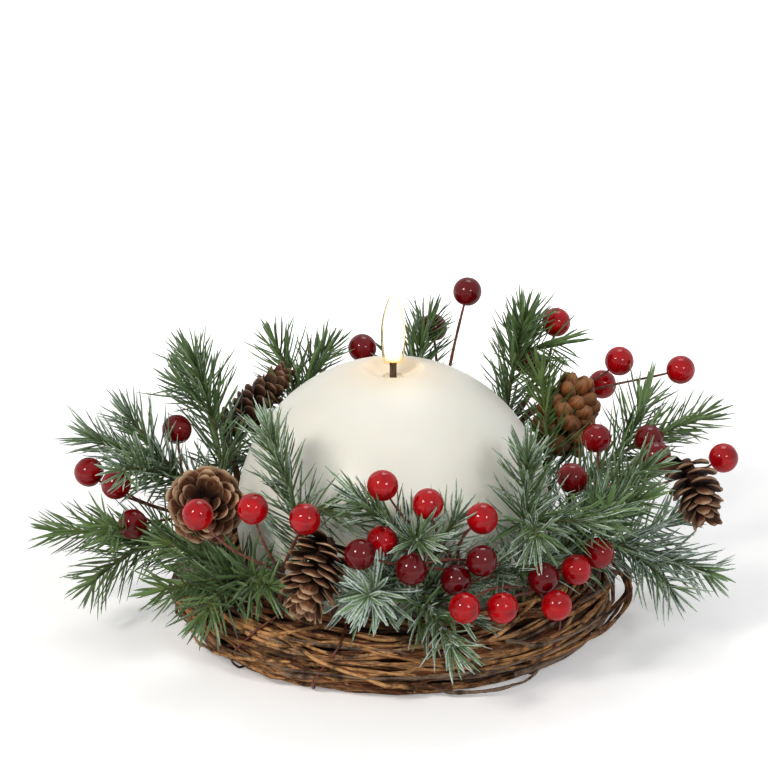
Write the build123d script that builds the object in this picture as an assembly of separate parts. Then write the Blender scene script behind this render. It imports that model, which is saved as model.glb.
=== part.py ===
"""Candle ring: a twig ring dressed with pine, cones and berry picks, round a lift-out LED candle.

Millimetres, +Z up. The origin is on the table under the middle of the candle, and -Y is the
front. Bearings are degrees round the candle from +X, counted towards +Y. A winding angle is
degrees round the ring's own section: 0 faces out, 90 up, 180 the candle and -90 the table.
"""
from build123d import *
import math
import os

os.makedirs("parts", exist_ok=True)

# The candle's wax ball
candle_radius = 62.5
candle_base_radius = 43.8
wax_wall = 8.0
dip_radius = 11.9
dip_depth = 4.0
dip_rim_fillet = 1.5
wax_ledge_width = 3.0
wax_ledge_height = 3.3
glue_gap = 0.3
overrun = 2.0

# The candle's base, case and cells
base_radius = 39.8
base_thickness = 2.4
case_height = 21.6
case_wall = 1.6
cell_radius = 5.25
cell_length = 44.5
cell_edge = 0.5
cell_button_radius = 1.9
cell_button_length = 0.8
cell_gap = 0.6
cell_clearance = 0.3
contact_thickness = 0.5
contact_width = 8.0
contact_height = 8.4
contact_bump_width = 3.2
contact_bump_length = 1.6
bay_wall = 1.2
bay_gap = 0.2
door_thickness = 1.6
door_recess = 0.4
door_lip = 1.2
door_gap = 0.35
hinge_pin_radius = 0.6
hinge_pin_length = 2.2
hinge_gap = 0.15
finger_notch_radius = 3.5
switch_slot_length = 9.0
switch_slot_width = 4.0
switch_travel = 4.0
switch_nub_length = 4.6
switch_nub_inset = 0.4
switch_flange_length = 12.0
switch_flange_width = 7.0
switch_flange_height = 2.0
switch_gap = 0.2
switch_offset = 16.0
board_length = 34.0
board_width = 16.0
board_thickness = 1.2
board_height = 5.0
board_post_width = 3.0
board_post_spread = 14.5
board_chip_size = 5.0
board_chip_height = 1.5
board_capacitor_radius = 2.4
board_capacitor_height = 5.0
board_part_share = 0.25
boss_gap = 1.0
screw_radius = 1.1
screw_length = 9.0
screw_head_radius = 2.2
screw_head_height = 1.4
screw_head_edge = 0.5
screw_gap = 0.1
boss_radius = 3.2

# The flame and what carries it
post_radius = 3.5
post_bore_radius = 1.5
post_flange_radius = 7.0
post_flange_height = 1.6
post_gap = 0.2
wick_radius = 1.4
wick_bore_radius = 0.95
wick_seat_depth = 6.0
wick_show = 6.4
flame_radius = 4.85
flame_length = 30.7
flame_wall = 0.8
flame_seat = 0.6
led_radius = 1.5
led_length = 4.6
led_flange_radius = 1.9
led_flange_height = 0.8
lead_radius = 0.3
lead_spacing = 0.9
wire_sides = 4

# The twig ring
twig_radius = 2.1
twig_gap = 0.2
twig_sides = 5
core_radius = 10.0
core_flat_drop = 1.7
ring_to_candle = 2.0
winding_sway = 1.1
sway_waves = 5
foot_cut_share = 0.2
stations_per_loop = 20
core_sides = 10
loose_twig_radius = 1.4
loose_twig_seat = 0.1
binding_radius = 0.6
binding_seat = 0.4
binding_groove_gap = 0.2
binding_floor_gap = 0.15
binding_tail = 3.2
groove_reach = 42

# Stems and their holes in the ring
stem_radius = 1.3
stem_tip_radius = 0.9
stem_sides = 3
small_sides = 12
pick_stem_radius = 1.5
berry_wire_radius = 0.75
hole_clearance = 0.15
hole_depth = 11.0
stem_rise = 1.6

# Foliage, cones and berries
needle_length = 18.0
needle_radius = 0.5
needle_gap = 0.35
needle_fall_share = 0.2
needle_checks = 4
sprig_bands = 6
bare_stem_share = 0.34
candle_free_gap = 1.4
floor_free_gap = 2.5
berry_radius = 6.0
berry_sides = 8
berry_wire_bands = 3
wire_lean_share = 0.55
fork_thick_share = 1.25
scale_thickness = 1.1

# How straight a side may lie along a rod before another is chosen
steep_share = 0.95

# A direction that no stem, cone or wire has, to square other directions to
odd_direction = Vector(0.2, 0.3, 1)

# Below this, two segments count as parallel, or one as a point
no_length = 1e-9

# Worked-out places
candle_centre = math.sqrt(candle_radius**2 - candle_base_radius**2)
dip_rim = candle_centre + math.sqrt(candle_radius**2 - dip_radius**2)
dip_sphere_radius = (dip_radius**2 + dip_depth**2) / (2 * dip_depth)
wick_foot = dip_rim - dip_depth
case_top = base_thickness + case_height
twig_winding = core_radius + twig_gap + twig_radius
section_radius = twig_winding + twig_radius
twig_flat = twig_radius * math.cos(math.radians(180 / twig_sides))
section_height = twig_winding + twig_flat - foot_cut_share * twig_radius
ring_radius = math.sqrt(
    (candle_radius + ring_to_candle + section_radius) ** 2
    - (candle_centre - section_height) ** 2
)
core_flat = section_height + core_radius - core_flat_drop
stem_free_height = section_height + section_radius + winding_sway + stem_rise
candle_free_radius = candle_radius + candle_free_gap


def save(name, shape):
    """Write one sub-part, as one solid or as a group of separate solids."""
    shape.label = name
    export_step(shape, f"parts/{name}.step")


def around(bearing, reach, height):
    """A point at a bearing round the candle."""
    turn = math.radians(bearing)
    return Vector(reach * math.cos(turn), reach * math.sin(turn), height)


def crown_point(bearing, reach_share, rise_share):
    """A point of the dressing: shares of the ring's radius and of the candle's height."""
    return around(bearing, reach_share * ring_radius, rise_share * dip_rim)


def winding_point(bearing, winding, distance):
    """A point at a distance from the middle of the ring's section."""
    lift = math.radians(winding)
    reach = ring_radius + distance * math.cos(lift)
    return around(bearing, reach, section_height + distance * math.sin(lift))


def bend(start, control, end, count):
    """Points of a curve that leaves start towards control and arrives at end from it."""
    points = []
    for i in range(count + 1):
        u = i / count
        points.append(start * (1 - u) ** 2 + control * (2 * u * (1 - u)) + end * u**2)
    return points


def corners(middle, along, side, radius, count):
    """The corners of a regular outline square to a direction."""
    other = along.cross(side)
    places = []
    for i in range(count):
        turn = 2 * math.pi * i / count
        places.append(middle + side * (radius * math.cos(turn)) + other * (radius * math.sin(turn)))
    return places


def sides(rings, closed=False):
    """The flat outlines between rings of corners; a ring of one corner is a point."""
    outlines = []
    for low, high in zip(rings, rings[1:] + rings[:1] if closed else rings[1:]):
        for i in range(max(len(low), len(high))):
            beside = (i + 1) % max(len(low), len(high))
            if len(low) == 1:
                outlines.append([low[0], high[beside], high[i]])
            elif len(high) == 1:
                outlines.append([low[i], low[beside], high[0]])
            else:
                outlines.append([low[i], low[beside], high[beside]])
                outlines.append([low[i], high[beside], high[i]])
    return outlines


def ends(rings):
    """The outlines that close the first ring and the last, where they aren't points."""
    outlines = [list(reversed(rings[0])), rings[-1]]
    return [outline for outline in outlines if len(outline) > 1]


def flat_solid(outlines, growths=()):
    """A solid of flat outlines; each growth's rings rise out of one of them, by its number."""
    feet = {number: rings[0] for number, rings in growths}
    faces = []
    for number, outline in enumerate(outlines):
        foot = [Wire.make_polygon(list(reversed(feet[number])))] if number in feet else []
        faces.append(Face(Wire.make_polygon(outline), foot))
    for number, rings in growths:
        outer = sides(rings) + ([rings[-1]] if len(rings[-1]) > 1 else [])
        faces += [Face(Wire.make_polygon(outline)) for outline in outer]
    return Solid(Shell(faces))


def flat_sided(rings):
    """A solid with flat sides through rings of corners."""
    return flat_solid(sides(rings) + ends(rings))


def turned(profile, x=0, y=0, closed=False):
    """A small turned piece: rings of corners at radii and heights; no radius is a point."""
    rings = []
    for radius, height in profile:
        middle = Vector(x, y, height)
        count = small_sides if radius > 0 else 1
        rings.append(corners(middle, Vector(0, 0, 1), Vector(1, 0, 0), radius, count))
    return flat_solid(sides(rings, closed) + ([] if closed else ends(rings)))


def any_side(along):
    """A direction square to the given one."""
    return along.cross(odd_direction).normalized()


def rod_rings(points, radii, count):
    """The outlines of a twig, stem or wire at its stations, with one steady side."""
    rings = []
    side = Vector(1, 0, 0)
    for i, point in enumerate(points):
        before = points[max(i - 1, 0)]
        after = points[min(i + 1, len(points) - 1)]
        along = (after - before).normalized()
        if abs(along.dot(side)) > steep_share:
            side = Vector(0, 0, 1)
        side = (side - along * side.dot(along)).normalized()
        rings.append(corners(point, along, side, radii[i], count))
    return rings


def rod(points, radii, count):
    """A twig, stem or wire with flat sides."""
    return flat_sided(rod_rings(points, radii, count))


def taper(start, end, count):
    """Evenly falling radii for the stations of a rod."""
    return [start + (end - start) * i / (count - 1) for i in range(count)]


def segment_gap(a, b, c, d):
    """The least distance between two straight segments."""
    u = b - a
    v = d - c
    w = a - c
    uu = u.dot(u)
    uv = u.dot(v)
    vv = v.dot(v)
    uw = u.dot(w)
    vw = v.dot(w)
    area = uu * vv - uv * uv
    s = 0 if area < no_length else min(1, max(0, (uv * vw - vv * uw) / area))
    t = 0 if vv < no_length else (uv * s + vw) / vv
    t = min(1, max(0, t))
    s = 0 if uu < no_length else min(1, max(0, (uv * t - uw) / uu))
    return (w + u * s - v * t).length


# The candle

def wax_shell():
    """A cast ball with a flat foot, a dip for the flame and a pocket for the case."""
    inner = candle_radius - wax_wall
    ledge_top = case_top + glue_gap + wax_ledge_height
    ledge_reach = math.sqrt(inner**2 - (ledge_top - candle_centre) ** 2)
    bore = post_radius + post_gap
    bore_top = dip_rim - dip_depth + dip_sphere_radius - math.sqrt(dip_sphere_radius**2 - bore**2)
    bore_foot = candle_centre + math.sqrt(inner**2 - bore**2)
    pocket = base_radius + glue_gap
    waist = (candle_radius, candle_centre)
    dip_middle = dip_radius / 2
    dip_middle_height = wick_foot + dip_sphere_radius
    dip_middle_height -= math.sqrt(dip_sphere_radius**2 - dip_middle**2)
    outline = [
        ThreePointArc((candle_base_radius, 0), waist, (dip_radius, dip_rim)),
        ThreePointArc((dip_radius, dip_rim), (dip_middle, dip_middle_height), (bore, bore_top)),
        Line((bore, bore_top), (bore, bore_foot)),
        ThreePointArc((bore, bore_foot), (inner, candle_centre), (ledge_reach, ledge_top)),
        Polyline(
            (ledge_reach, ledge_top),
            (pocket - wax_ledge_width, ledge_top),
            (pocket - wax_ledge_width, case_top + glue_gap),
            (pocket, case_top + glue_gap),
            (pocket, 0),
            (candle_base_radius, 0),
        ),
    ]
    shell = revolve(Plane.XZ * make_face(outline), Axis.Z, 360)
    rim = shell.edges().filter_by(GeomType.CIRCLE).sort_by(Axis.Z)[-1]
    return fillet(rim, dip_rim_fillet)


bay_length = cell_length + 2 * (contact_bump_length + contact_thickness)
bay_width = 4 * cell_radius + cell_gap + 2 * cell_clearance
bay_reach = base_radius - case_wall - bay_gap
bay_offset = math.sqrt(bay_reach**2 - (bay_length / 2 + bay_wall) ** 2) - bay_width / 2 - bay_wall
screw_circle_radius = base_radius - case_wall - boss_gap - boss_radius
bay_height = 2 * cell_radius + 2 * cell_clearance
door_length = bay_length - 2 * door_lip
door_width = bay_width - 2 * door_lip
hinge_barrel_radius = door_thickness / 2
hinge_line = bay_offset - door_width / 2 + hinge_barrel_radius
hinge_height = door_recess + hinge_barrel_radius
screw_bearings = (90, 210, 330)


def upright(radius, height, foot, x=0, y=0):
    """A round post that stands on a height."""
    return Pos(x, y, foot) * Cylinder(radius, height, align=(Align.CENTER, Align.CENTER, Align.MIN))


def block(length, width, height, foot, x=0, y=0):
    """A box that stands on a height."""
    standing = (Align.CENTER, Align.CENTER, Align.MIN)
    return Pos(x, y, foot) * Box(length, width, height, align=standing)


def base_plate():
    """The moulded underside, with the cell bay, the switch slot and the board's posts."""
    plate = upright(base_radius, base_thickness, 0)
    bay_outside = bay_height + bay_wall
    plate += block(
        bay_length + 2 * bay_wall, bay_width + 2 * bay_wall, bay_outside, base_thickness, y=bay_offset
    )
    plate -= block(bay_length, bay_width, bay_height, base_thickness, y=bay_offset)
    opening_length = door_length + 2 * door_gap
    opening_width = door_width + 2 * door_gap
    plate -= block(opening_length, opening_width, base_thickness + overrun, -overrun, y=bay_offset)
    plate -= block(opening_length, opening_width, overrun, base_thickness, y=bay_offset)
    notch_y = bay_offset + door_width / 2
    plate -= upright(finger_notch_radius, door_recess + door_thickness / 2 + overrun, -overrun, y=notch_y)
    for side in (-1, 1):
        reach = door_length / 2 + hinge_pin_length / 2
        socket = Cylinder(hinge_pin_radius + hinge_gap, hinge_pin_length + 2 * hinge_gap)
        plate -= Pos(side * reach, hinge_line, hinge_height) * Rot(0, 90, 0) * socket
    plate -= block(
        switch_slot_length, switch_slot_width, base_thickness + 2 * overrun, -overrun, y=-switch_offset
    )
    for side in (-1, 1):
        post = board_height - base_thickness
        x = side * board_post_spread
        plate += block(board_post_width, board_post_width, post, base_thickness, x, -switch_offset)
    for bearing in screw_bearings:
        place = around(bearing, screw_circle_radius, 0)
        plate -= upright(screw_radius + screw_gap, base_thickness + 2 * overrun, -overrun, place.X, place.Y)
        seat = screw_head_height + door_recess + overrun
        plate -= upright(screw_head_radius + screw_gap, seat, -overrun, place.X, place.Y)
    return plate


def battery_door():
    """A hinged lid, recessed in the base, with a round hinge edge and a pin at each end of it."""
    leaf_width = door_width - hinge_barrel_radius
    lid = block(door_length, leaf_width, door_thickness, door_recess, y=hinge_line + leaf_width / 2)
    hinge = Pos(0, hinge_line, hinge_height) * Rot(0, 90, 0)
    lid += hinge * Cylinder(hinge_barrel_radius, door_length)
    lid += hinge * Cylinder(hinge_pin_radius, door_length + 2 * hinge_pin_length)
    return lid


cell_height = base_thickness + cell_clearance + cell_radius
cell_spread = cell_radius + cell_gap / 2


def batteries():
    """Two cells side by side, turned opposite ways."""
    cells = []
    for side in (-1, 1):
        half = cell_length / 2
        body = turned(
            [
                (cell_radius - cell_edge, -half),
                (cell_radius, cell_edge - half),
                (cell_radius, half - cell_button_length - cell_edge),
                (cell_radius - cell_edge, half - cell_button_length),
                (cell_button_radius, half - cell_button_length),
                (cell_button_radius, half),
            ]
        )
        lying = Rot(0, 0, 0 if side > 0 else 180) * Rot(0, 90, 0)
        cells.append(Pos(0, bay_offset + side * cell_spread, cell_height) * lying * body)
    return Compound(children=cells)


def battery_contacts():
    """Sprung strips: one bridges both cells, and two carry the board's wires."""
    wall = bay_length / 2 - contact_thickness / 2
    strips = []
    bridge = Pos(wall, bay_offset, cell_height) * Box(
        contact_thickness, 2 * cell_spread + contact_width, contact_height
    )
    for side in (-1, 1):
        bridge += contact_bump(1, side)
        strip = Pos(-wall, bay_offset + side * cell_spread, cell_height)
        strip = strip * Box(contact_thickness, contact_width, contact_height)
        strips.append((strip + contact_bump(-1, side)).solid())
    return Compound(children=[bridge.solid(), *strips])


def contact_bump(end, side):
    """The raised spring of a contact, against the end of a cell."""
    reach = cell_length / 2 + contact_bump_length / 2
    bump = Box(contact_bump_length, contact_bump_width, contact_bump_width)
    return Pos(end * reach, bay_offset + side * cell_spread, cell_height) * bump


def battery_case():
    """The cup over the base, with screw bosses and a hole for the flame's leads."""
    case = upright(base_radius, case_height, base_thickness)
    case -= upright(base_radius - case_wall, case_height - case_wall, base_thickness)
    for bearing in screw_bearings:
        place = around(bearing, screw_circle_radius, 0)
        boss_top = case_top - case_wall / 2
        case += turned([(boss_radius, base_thickness), (boss_radius, boss_top)], place.X, place.Y)
        bore = screw_radius + 2 * screw_gap
        bore_top = base_thickness + screw_length + overrun
        case -= turned([(bore, base_thickness - overrun), (bore, bore_top)], place.X, place.Y)
    case -= upright(post_bore_radius, case_wall + 2 * overrun, case_top - case_wall - overrun)
    return case


def base_screws():
    """Three pan-head screws, sunk in the base."""
    screws = []
    for bearing in screw_bearings:
        place = around(bearing, screw_circle_radius, 0)
        profile = [
            (screw_head_radius - screw_head_edge, door_recess),
            (screw_head_radius, door_recess + screw_head_edge),
            (screw_head_radius, door_recess + screw_head_height),
            (screw_radius, door_recess + screw_head_height),
            (screw_radius, door_recess + screw_length),
        ]
        screws.append(turned(profile, place.X, place.Y))
    return Compound(children=screws)


def power_switch():
    """A slider: a nub in the base's slot under a flange that the board keeps down."""
    middle = -switch_travel / 2
    nub_top = base_thickness + switch_gap
    nub_width = switch_slot_width - 2 * switch_gap
    slider = block(
        switch_nub_length, nub_width, nub_top - switch_nub_inset, switch_nub_inset, middle, -switch_offset
    )
    slider += block(
        switch_flange_length, switch_flange_width, switch_flange_height, nub_top, middle, -switch_offset
    )
    return slider


def circuit_board():
    """The driver board on its two posts, with its chip and capacitor."""
    board = block(board_length, board_width, board_thickness, board_height, y=-switch_offset)
    top = board_height + board_thickness
    across = board_length * board_part_share
    board += block(board_chip_size, board_chip_size, board_chip_height, top, -across, -switch_offset)
    board += upright(board_capacitor_radius, board_capacitor_height, top, across, -switch_offset)
    return board


def flame_post():
    """The plastic tube that carries the wick up through the hollow ball."""
    top = wick_foot - post_gap
    return turned(
        [
            (post_bore_radius, case_top),
            (post_flange_radius, case_top),
            (post_flange_radius, case_top + post_flange_height),
            (post_radius, case_top + post_flange_height),
            (post_radius, top),
            (post_bore_radius, top),
        ],
        closed=True,
    )


wick_top = wick_foot + wick_show
flame_foot = wick_top - flame_seat


def wick():
    """The dark sleeve that passes for a wick, glued into the post."""
    foot = wick_foot - wick_seat_depth
    profile = [
        (wick_bore_radius, foot),
        (wick_radius, foot),
        (wick_radius, wick_top),
        (wick_bore_radius, wick_top),
    ]
    return turned(profile, closed=True)


# The lamp's domed top: shares of its radius and length
led_shares = ((1.0, 0.72), (0.72, 0.93), (0, 1.0))

# A full drop, widest low down and drawn out to a soft tip: shares of its radius and length
flame_shares = (
    (0.80, 0.04),
    (0.96, 0.14),
    (1.0, 0.28),
    (0.93, 0.45),
    (0.74, 0.62),
    (0.49, 0.77),
    (0.25, 0.90),
    (0.09, 0.98),
)
flame_hollow_shares = ((0.94, 0.28), (0.72, 0.60), (0.40, 0.80))
flame_hollow_length_share = 0.92


def flame_shell():
    """The thin drop-shaped diffuser, with a hole where it sits over the wick."""
    mouth = led_flange_radius + screw_gap
    hollow = flame_radius - flame_wall
    profile = [(0, flame_foot + flame_length * flame_hollow_length_share)]
    for radius_share, height_share in reversed(flame_hollow_shares):
        profile.append((hollow * radius_share, flame_foot + flame_length * height_share))
    profile.append((mouth, flame_foot + flame_wall))
    profile.append((mouth, flame_foot))
    for radius_share, height_share in flame_shares:
        profile.append((flame_radius * radius_share, flame_foot + flame_length * height_share))
    profile.append((0, flame_foot + flame_length))
    return turned(profile)


def led():
    """The domed lamp on the wick's end, inside the flame."""
    flange_top = wick_top + led_flange_height
    profile = [(led_flange_radius, wick_top), (led_flange_radius, flange_top), (led_radius, flange_top)]
    for radius_share, length_share in led_shares:
        profile.append((led_radius * radius_share, wick_top + led_length * length_share))
    return turned(profile)


def led_leads():
    """Two thin wires from the board, over the case's floor and up the post to the lamp."""
    top = board_height + board_thickness
    high = case_top - case_wall - 2 * post_bore_radius
    leads = []
    for side in (-1, 1):
        x = side * lead_spacing / 2
        points = [
            Vector(x, -switch_offset + board_width / 2 - board_thickness, top),
            Vector(x, -switch_offset + board_width / 2 - board_thickness, high - post_radius),
            Vector(x, -post_radius, high),
            Vector(x, 0, case_top),
            Vector(x, 0, case_top + post_flange_radius),
            Vector(x, 0, wick_top),
        ]
        leads.append(rod(points, [lead_radius] * len(points), wire_sides))
    return Compound(children=leads)


# The twig ring

station_step = 360 / stations_per_loop
first_station_bearing = 12
turn_step = 22.5
first_winding = 60
foot_first = 104
foot_last = 170
last_station = 266


def radial(bearing):
    """The outward direction at a bearing."""
    return around(bearing, 1, 0)


def station_bearing(station):
    """Where a station lies round the candle."""
    return first_station_bearing + station * station_step


def station_winding(station):
    """Where the vine has got to round the ring's section at a station."""
    return first_winding - turn_step * station / stations_per_loop


def vine_distance(bearing, winding):
    """The vine's distance from the section's middle: it rises and falls a little on top."""
    high = (1 + math.sin(math.radians(winding))) / 2
    sway = (1 + math.sin(math.radians(sway_waves * bearing))) / 2
    return twig_winding + winding_sway * high * sway


def vine_middle(station):
    """The middle of the vine at a station."""
    bearing = station_bearing(station)
    winding = station_winding(station)
    return winding_point(bearing, winding, vine_distance(bearing, winding))


def winding_ring(station):
    """The vine's outline in the upright plane at a station, with one flat side out."""
    bearing = station_bearing(station)
    inward = winding_point(bearing, 0, 0) - vine_middle(station)
    return corners(vine_middle(station), radial(bearing + 90), inward.normalized(), twig_radius, twig_sides)


def wound_twigs(first, last):
    """One unbroken vine that winds round the ring, from one station to another."""
    return flat_sided([winding_ring(station) for station in range(first, last + 1)])


def twig_core():
    """The packed middle of the ring, flat on top, with a hole for every stem."""
    rings = []
    for station in range(stations_per_loop):
        bearing = station_bearing(station)
        middle = around(bearing, ring_radius, section_height)
        outline = corners(middle, radial(bearing + 90), radial(bearing), core_radius, core_sides)
        rings.append([Vector(place.X, place.Y, min(place.Z, core_flat)) for place in outline])
    core = flat_solid(sides(rings, closed=True))
    holes = []
    for bearing, radius in stem_holes:
        foot = around(bearing, ring_radius, core_flat - hole_depth)
        mouth = foot + Vector(0, 0, hole_depth + overrun)
        holes.append(rod([foot, mouth], [radius + 2 * hole_clearance] * 2, stem_sides))
    return core - holes


# Stations that carry a binding wire, and where its two ends bend out, in winding degrees
binding_stations = (1, 8, 12, 13, 17)
binding_end_turn = 4
binding_start_turn = 20


def binding_point(bearing, winding, extra):
    """A place on a binding wire: over the twigs, or pressed into them just off the table."""
    distance = vine_distance(bearing, winding) + twig_flat + binding_seat + binding_radius + extra
    fall = -math.sin(math.radians(winding))
    lowest = section_height - binding_floor_gap - binding_radius
    if fall * distance > lowest:
        distance = lowest / fall
    return winding_point(bearing, winding, distance)


def binding_windings(station):
    """The winding angles of a binding wire from inside to outside, and those near the table."""
    crossed = range(station, last_station + 1, stations_per_loop)
    windings = [station_winding(place) + 360 for place in reversed(crossed)]
    low = [winding for winding in windings if abs(winding - 270) < groove_reach]
    before = low[0] - turn_step / 2
    after = low[-1] + turn_step / 2
    return sorted([*windings, before, after]), [before, *low, after]


def binding_wires():
    """Copper wires that hold the twigs together, each with its two ends bent out."""
    wires = []
    for station in binding_stations:
        bearing = station_bearing(station)
        windings = binding_windings(station)[0]
        start = windings[-1] - 360 + binding_start_turn
        points = [
            binding_point(bearing, start - binding_end_turn, binding_tail),
            binding_point(bearing, start, 0),
            binding_point(bearing, (start + windings[0]) / 2, 0),
        ]
        points += [binding_point(bearing, winding, 0) for winding in windings]
        points.append(binding_point(bearing, windings[-1] + binding_end_turn, binding_tail))
        wires.append(rod(points, [binding_radius] * len(points), wire_sides))
    return Compound(children=wires)


def binding_grooves():
    """The grooves that the binding wires have bitten into the twigs at the foot."""
    grooves = []
    for station in binding_stations:
        bearing = station_bearing(station)
        points = [binding_point(bearing, winding, 0) for winding in binding_windings(station)[1]]
        grooves.append(rod(points, [binding_radius + binding_groove_gap] * len(points), wire_sides))
    return grooves


# Outer twigs that leave the winding: bearing, winding angle and lift as a share of the twig;
# both ends lie on the vine that is nearest to their place
loose_twig_shares = {
    "right_upper": [(336, 38), (345, 31, 1.2), (354, 24, 2.4), (3, 20, 1.5), (13, 15)],
    "right_lower": [(334, -6), (344, 0, 2.2), (354, 2, 4.0), (3, 0, 3.0), (13, -8)],
    "left": [(172, 5), (182, 6, 1.4), (191, 4, 1.8), (201, 2, 1.0), (212, 2)],
    "front": [(281, -47), (290, -38, 1.2), (298, -32.5, 3.4), (305, -30, 3.0), (311, -26)],
}


def vine_seat(bearing, winding):
    """A loose twig's end, against the outside of the nearest vine."""
    turn = (bearing - first_station_bearing) / station_step % stations_per_loop
    places = [turn + first for first in range(0, last_station - stations_per_loop, stations_per_loop)]
    place = min(places, key=lambda place: abs(math.sin(math.radians(station_winding(place) - winding) / 2)))
    before = vine_middle(math.floor(place))
    after = vine_middle(math.floor(place) + 1)
    middle = before + (after - before) * (place % 1)
    out = (middle - winding_point(bearing, winding, 0)).normalized()
    return middle + out * (twig_flat + loose_twig_seat + loose_twig_radius)


def wrapping_twigs():
    """Stray ends and bowed twigs outside the winding, clear of the table."""
    twigs = []
    for first, *bowed, last in loose_twig_shares.values():
        points = [vine_seat(*first)]
        for bearing, winding, lift_share in bowed:
            distance = section_radius + winding_sway + loose_twig_seat
            distance += loose_twig_radius * (1 + lift_share)
            points.append(winding_point(bearing, winding, distance))
        points = smooth([*points, vine_seat(*last)])
        twigs.append(rod(points, [loose_twig_radius] * len(points), twig_sides))
    return Compound(children=twigs)


def smooth(points):
    """A rounder route through the same places: a bend about each inner one."""
    route = [points[0]]
    for i in range(1, len(points) - 1):
        into = (points[i - 1] + points[i]) * 0.5
        out = (points[i] + points[i + 1]) * 0.5
        route.extend(bend(into, points[i], out, 2)[0 if i == 1 else 1:])
    route.append(points[-1])
    return route


# Pine sprigs: root bearing, height of the bend, tip place, needles' tilt at foot and tip
sprig_shares = {
    "sprig_front_rosette": (266, 0.46, (265, 1.47, 0.50), 78, 34),
    "sprig_front_low": (275, 0.44, (282, 1.46, 0.30), 74, 34),
    "sprig_front_left_tall": (243, 0.62, (231, 1.02, 0.93), 54, 32),
    "sprig_front_left_low": (221, 0.36, (216, 1.50, 0.36), 66, 34),
    "sprig_front_cross": (284, 0.50, (262, 1.13, 0.76), 62, 34),
    "sprig_front_right_tall": (314, 0.60, (313, 1.04, 0.83), 56, 34),
    "sprig_right_filler": (335, 0.48, (336, 1.42, 0.62), 60, 34),
    "sprig_right_low": (344, 0.46, (349, 1.74, 0.27), 62, 34),
    "sprig_right_rosette": (351, 0.50, (343, 1.42, 0.70), 74, 34),
    "sprig_right_long": (17, 0.52, (17, 1.78, 0.66), 58, 34),
    "sprig_right_inner": (28, 0.60, (36, 1.03, 0.80), 62, 34),
    "sprig_right_tall": (51, 0.74, (44, 1.03, 1.01), 52, 30),
    "sprig_rear": (85, 0.66, (80, 1.12, 0.89), 54, 32),
    "sprig_rear_left": (128, 0.60, (111, 1.11, 0.80), 60, 34),
    "sprig_left_tall": (161, 0.70, (162, 1.16, 0.93), 54, 32),
    "sprig_left_upper": (171, 0.50, (178, 1.64, 0.70), 58, 34),
    "sprig_left_long": (189, 0.36, (184, 1.83, 0.38), 62, 34),
}

# Cones: root bearing, height of the stem's bend, base place, tip place, radius, scale tilt
cone_shares = {
    "cone_left_open": (209, 0.46, (208, 1.14, 0.58), (219, 1.28, 0.69), 16.5, 62),
    "cone_front": (252, 0.62, (253, 1.16, 0.55), (251, 1.42, 0.35), 12.5, 40),
    "cone_rear_left": (150, 0.46, (148, 1.12, 0.58), (123, 1.10, 0.76), 9.0, 34),
    "cone_right_closed": (36, 0.40, (35, 1.12, 0.50), (31, 1.24, 0.80), 12.5, 34),
    "cone_far_right": (357, 0.50, (356, 1.60, 0.65), (347, 1.76, 0.45), 11.0, 48),
}

# Berry picks: root bearing, fork place, and each berry's place and its wire's droop
pick_shares = {
    "a": (233, (240, 1.16, 0.50), [(226, 1.47, 0.70, 2), (236, 1.31, 0.73, 2), (249, 1.28, 0.72, 0.2)]),
    "b": (
        307,
        (302, 1.12, 0.48),
        [
            (262.5, 1.33, 0.62, 1.2),
            (267, 1.14, 0.62, 1.0),
            (274, 1.31, 0.56, -1.0),
            (285, 1.25, 0.49, 0.8),
            (291, 1.28, 0.56, 0),
        ],
    ),
    "c": (322, (312, 1.14, 0.33), [(285, 1.42, 0.43, -1.8), (294, 1.39, 0.40, -0.8), (307, 1.42, 0.37, 0.4)]),
    "d": (329, (322, 1.18, 0.40), [(308, 1.28, 0.44, 0.4), (316, 1.34, 0.45, 0.6), (326, 1.32, 0.46, 0.6)]),
    "e": (293, (286, 1.04, 0.56), [(267, 1.09, 0.82, 1.6), (279, 1.14, 0.76, 1.0), (294, 1.14, 0.68, 0)]),
    "f": (
        5,
        (5, 1.16, 0.48),
        [
            (4.4, 1.83, 0.60, 1.2),
            (11, 1.45, 0.64, 0.8),
            (2, 1.45, 0.63, 0.8),
            (7, 1.13, 0.68, 0),
            (338, 1.04, 0.66, 0.6),
        ],
    ),
    "g": (
        60,
        (49, 1.30, 0.67),
        [
            (42, 1.24, 0.98, 0.8),
            (33, 1.53, 0.82, 1.4),
            (23, 1.76, 0.82, 0.6),
            (39, 1.54, 0.69, 0.4),
            (49, 1.16, 0.81, 0),
        ],
    ),
    "h": (74, (76, 1.14, 0.60), [(69, 1.19, 1.04, 0), (79, 1.22, 0.87, 0), (99, 1.11, 0.81, 1.2)]),
    "i": (
        180,
        (182, 1.14, 0.44),
        [(180, 1.67, 0.58, 1.4), (187, 1.52, 0.58, 1.0), (193, 1.45, 0.46, 0.4), (167, 1.23, 0.68, 0.4)],
    ),
}

stem_holes = [(places[0], stem_radius) for places in sprig_shares.values()]
stem_holes += [(places[0], stem_radius) for places in cone_shares.values()]
stem_holes += [(places[0], pick_stem_radius) for places in pick_shares.values()]


def rooted(bearing):
    """The upright foot of a stem: in its hole, at the hole's mouth and above the twigs."""
    return [
        around(bearing, ring_radius, core_flat - hole_depth + hole_clearance),
        around(bearing, ring_radius, core_flat),
        around(bearing, ring_radius, stem_free_height),
    ]


def stem_route(bearing, bend_share, tip, bands=4):
    """A stem's route: upright out of its hole, then bent towards its tip."""
    foot = rooted(bearing)
    control = around(bearing, ring_radius, bend_share * dip_rim)
    return foot[:2] + bend(foot[2], control, tip, bands)


forms = []


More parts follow.
